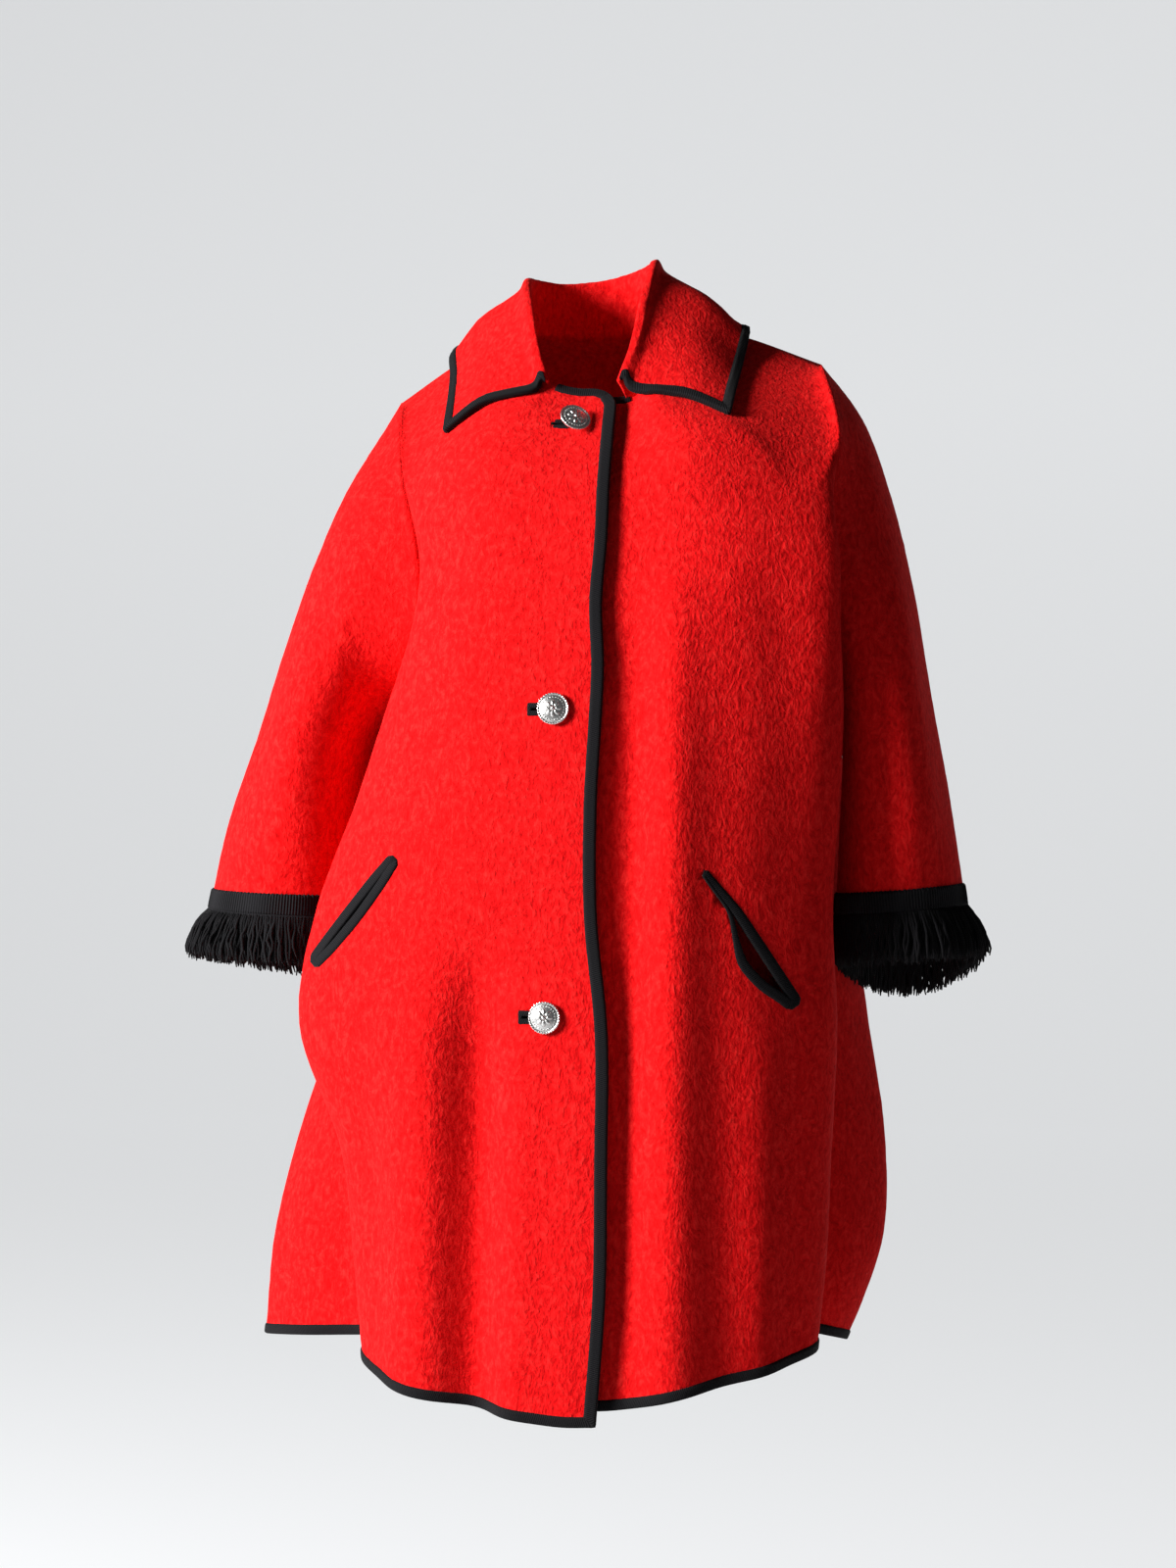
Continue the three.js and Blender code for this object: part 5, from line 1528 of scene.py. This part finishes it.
def fringePiece(name, gridName, node, bodySide):
    columns, out = cuffEdge(gridName)
    edge, facing = columns[-1], out[-1]
    down = unit(edge - pointBack(columns, out, 6.0)[0])
    run = np.concatenate([[0], np.cumsum(np.linalg.norm(np.diff(edge, axis=0), axis=1))])
    total = run[-1] + np.linalg.norm(edge[0] - edge[-1])
    closedRun = np.append(run, total)

    def at(line, where):
        closedLine = np.concatenate([line, line[:1]])
        return np.array([np.interp(where % total, closedRun, closedLine[:, k]) for k in range(3)])

    high = cuff["clearance"] + cuff["thick"] - 0.4
    tapeRows = [edge + high * facing - 0.4 * down, edge + high * facing + cuff["tape"] * down]
    vertices, faces = shell(np.array(tapeRows), np.array([facing, facing]), True, cuff["thick"] + 2.2)
    vertices, faces = [vertices], [np.asarray(faces).tolist()]
    uv = [np.zeros((len(vertices[0]), 2))]
    start = len(vertices[0])
    rng = np.random.default_rng(fringe["seed"] + (1 if bodySide > 0 else 0))
    count = round(total / fringe["pitch"])
    sides, steps = fringe["sides"], fringe["steps"]
    for layer in range(fringe["layers"]):
        for k in range(count):
            where = (k + layer / fringe["layers"] + 0.35 * rng.uniform(-1, 1)) / count * total
            root, way = at(edge, where), unit(at(facing, where))
            level = unit(way * (1, 1, 0))
            along = np.cross(level, (0, 0, 1))
            fall = unit(at(down, where))
            inward = layer * fringe["layerIn"]
            free = np.clip(0.5 - level[0] * bodySide, 0.06, 1) * (1 - 0.22 * layer)
            flare = fringe["flare"] * free * (1 + 0.35 * rng.uniform(-1, 1))
            length = fringe["length"] * (1 + 0.09 * rng.uniform(-1, 1))
            sway = fringe["sway"] * rng.uniform(-1, 1)
            curl = fringe["wave"] * rng.uniform(0.4, 1.3)
            phase, waves = rng.uniform(0, 6.28), rng.uniform(1.0, 2.2)
            root = root + way * (high - 0.6 - inward) + fall * (0.5 + 0.6 * layer)
            path = []
            for m in range(steps):
                d = m / (steps - 1)
                bulge = flare * (1 - (1 - d) ** 1.7)
                droop = (fall * (1 - d) + np.array((0, 0, -1)) * d) * length * d
                wiggle = curl * math.sin(2 * math.pi * waves * d + phase) * min(1, 3 * d)
                aside = level * (bulge + wiggle * 0.6) + along * (sway * d ** 1.5 + wiggle)
                path.append(root + droop + aside)
            path = np.array(path)
            tangent = unit(np.gradient(path, axis=0))
            across = unit(np.cross(tangent, level))
            outward = np.cross(across, tangent)
            share = np.linspace(0, 1, steps)
            taper = np.interp(share, [0, 0.1, 0.8, 1], [0.8, 1, 1, 0.45])
            radius = fringe["radius"] * (0.9 + 0.2 * rng.uniform()) * taper
            angle = 2 * np.pi * np.arange(sides) / sides
            cosines, sines = np.cos(angle)[None, :, None], np.sin(angle)[None, :, None]
            spokes = cosines * outward[:, None] + sines * across[:, None]
            ring = path[:, None] + radius[:, None, None] * spokes
            vertices.append(ring.reshape(-1, 3))
            own = quadsOf(steps, sides, True, start).tolist()
            own.append([start + q for q in range(sides)][::-1])
            own.append([start + (steps - 1) * sides + q for q in range(sides)])
            faces.append(own)
            flat = np.meshgrid(share * length, angle * fringe["radius"], indexing="ij")
            uv.append(np.stack(flat, axis=-1).reshape(-1, 2))
            start += steps * sides
    everyFace = [face for own in faces for face in own]
    piece = addPiece(name, np.concatenate(vertices), everyFace, [node], np.concatenate(uv))
    tidyNormals(piece)
    piece.data.materials.append(yarn)


for side, bodySide in (("right", 1), ("left", -1)):
    braidPiece(side + "_braid", side + "Sleeve", side + "_cuff_braid")
    fringePiece(side + "_yarns", side + "Sleeve", side + "_fringe", bodySide)
print("cuffs made")


# Floor, backdrop and light: a plain pale studio with one soft key far to the wearer's right, and a
# paper that glows a little, so that the backdrop stays pale where the light is low
studio = {
    "floor": -1.45,
    "paper": (0.39, 0.395, 0.4),
    "glow": 0.57,
    "glowPerMetre": 0.45,  # how fast the glow grows towards the back, from 0.6 below the coat
    "glowHere": 0.6,
    "keyPlace": (-3.3, -2.1, 0.7),
    "key": 450,
    "fillPlace": (2.6, -2.4, 0.2),
    "fill": 1.2,
    "world": 0.05,
    "worldSeen": 0.65,
}


def paperMaterial():
    material, tree, shader, _ = newMaterial("studioPaper", None, {
        "Base Color": (*studio["paper"], 1),
        "Emission Strength": studio["glow"],
        "Roughness": 0.9,
        "Specular IOR Level": 0.1,
    })
    separate = tree.nodes.new("ShaderNodeSeparateXYZ")
    tree.links.new(tree.nodes.new("ShaderNodeTexCoord").outputs["Object"], separate.inputs[0])
    back = mathNode(tree, "MULTIPLY_ADD", separate.outputs[1], studio["glowPerMetre"])
    back.node.inputs[2].default_value = studio["glowHere"]
    glow = colourRamp(tree, back, [(0, (0, 0, 0)), (1, (0.97, 0.985, 1.0))])
    tree.links.new(glow, shader.inputs["Emission Color"])
    return material


def buildFloor():  # a plane whose rear edge is drawn up into a wall, with a wide bend
    bpy.ops.object.select_all(action="DESELECT")
    bpy.ops.mesh.primitive_plane_add(size=14, location=(0, 2.5, studio["floor"]))
    floor = bpy.context.object
    floor.name = "studio_floor"
    bpy.ops.object.mode_set(mode="EDIT")
    bpy.ops.mesh.select_mode(type="EDGE")
    bpy.ops.mesh.select_all(action="DESELECT")
    bpy.ops.object.mode_set(mode="OBJECT")
    for edge in floor.data.edges:
        edge.select = all(floor.data.vertices[v].co.y > 6 for v in edge.vertices)
    bpy.ops.object.mode_set(mode="EDIT")
    bpy.ops.mesh.extrude_region_move(TRANSFORM_OT_translate={"value": (0, 0, 9)})
    bpy.ops.object.mode_set(mode="OBJECT")
    bpy.ops.object.transform_apply(location=True, rotation=True, scale=True)
    bend = floor.modifiers.new("bend", "BEVEL")
    bend.width = 2.5
    bend.segments = 24
    bpy.ops.object.modifier_apply(modifier="bend")
    bpy.ops.object.shade_smooth()
    floor.data.materials.append(paperMaterial())


def addArea(name, place, target, size, power):
    data = bpy.data.lights.new(name, "AREA")
    data.shape = "DISK"
    data.size = size
    data.energy = power
    lamp = bpy.data.objects.new(name, data)
    lamp.location = place
    lamp.rotation_euler = (Vector(target) - Vector(place)).to_track_quat("-Z", "Y").to_euler()
    bpy.context.scene.collection.objects.link(lamp)


buildFloor()
addArea("key", studio["keyPlace"], (0, 0, -0.4), 1.6, studio["key"])
addArea("fill", studio["fillPlace"], (0, 0, -0.5), 2.4, studio["fill"])
world = bpy.data.worlds.new("studio")
world.use_nodes = True
sky = world.node_tree.nodes["Background"]
sky.inputs[0].default_value = (0.95, 0.97, 1.0, 1)
seen = world.node_tree.nodes.new("ShaderNodeLightPath").outputs["Is Camera Ray"]
strength = mathNode(world.node_tree, "MULTIPLY_ADD", seen, studio["worldSeen"])  # pale where it shows
strength.node.inputs[2].default_value = studio["world"]
world.node_tree.links.new(strength, sky.inputs[1])
bpy.context.scene.world = world
bpy.context.scene.view_settings.view_transform = "Standard"
print("studio lit")
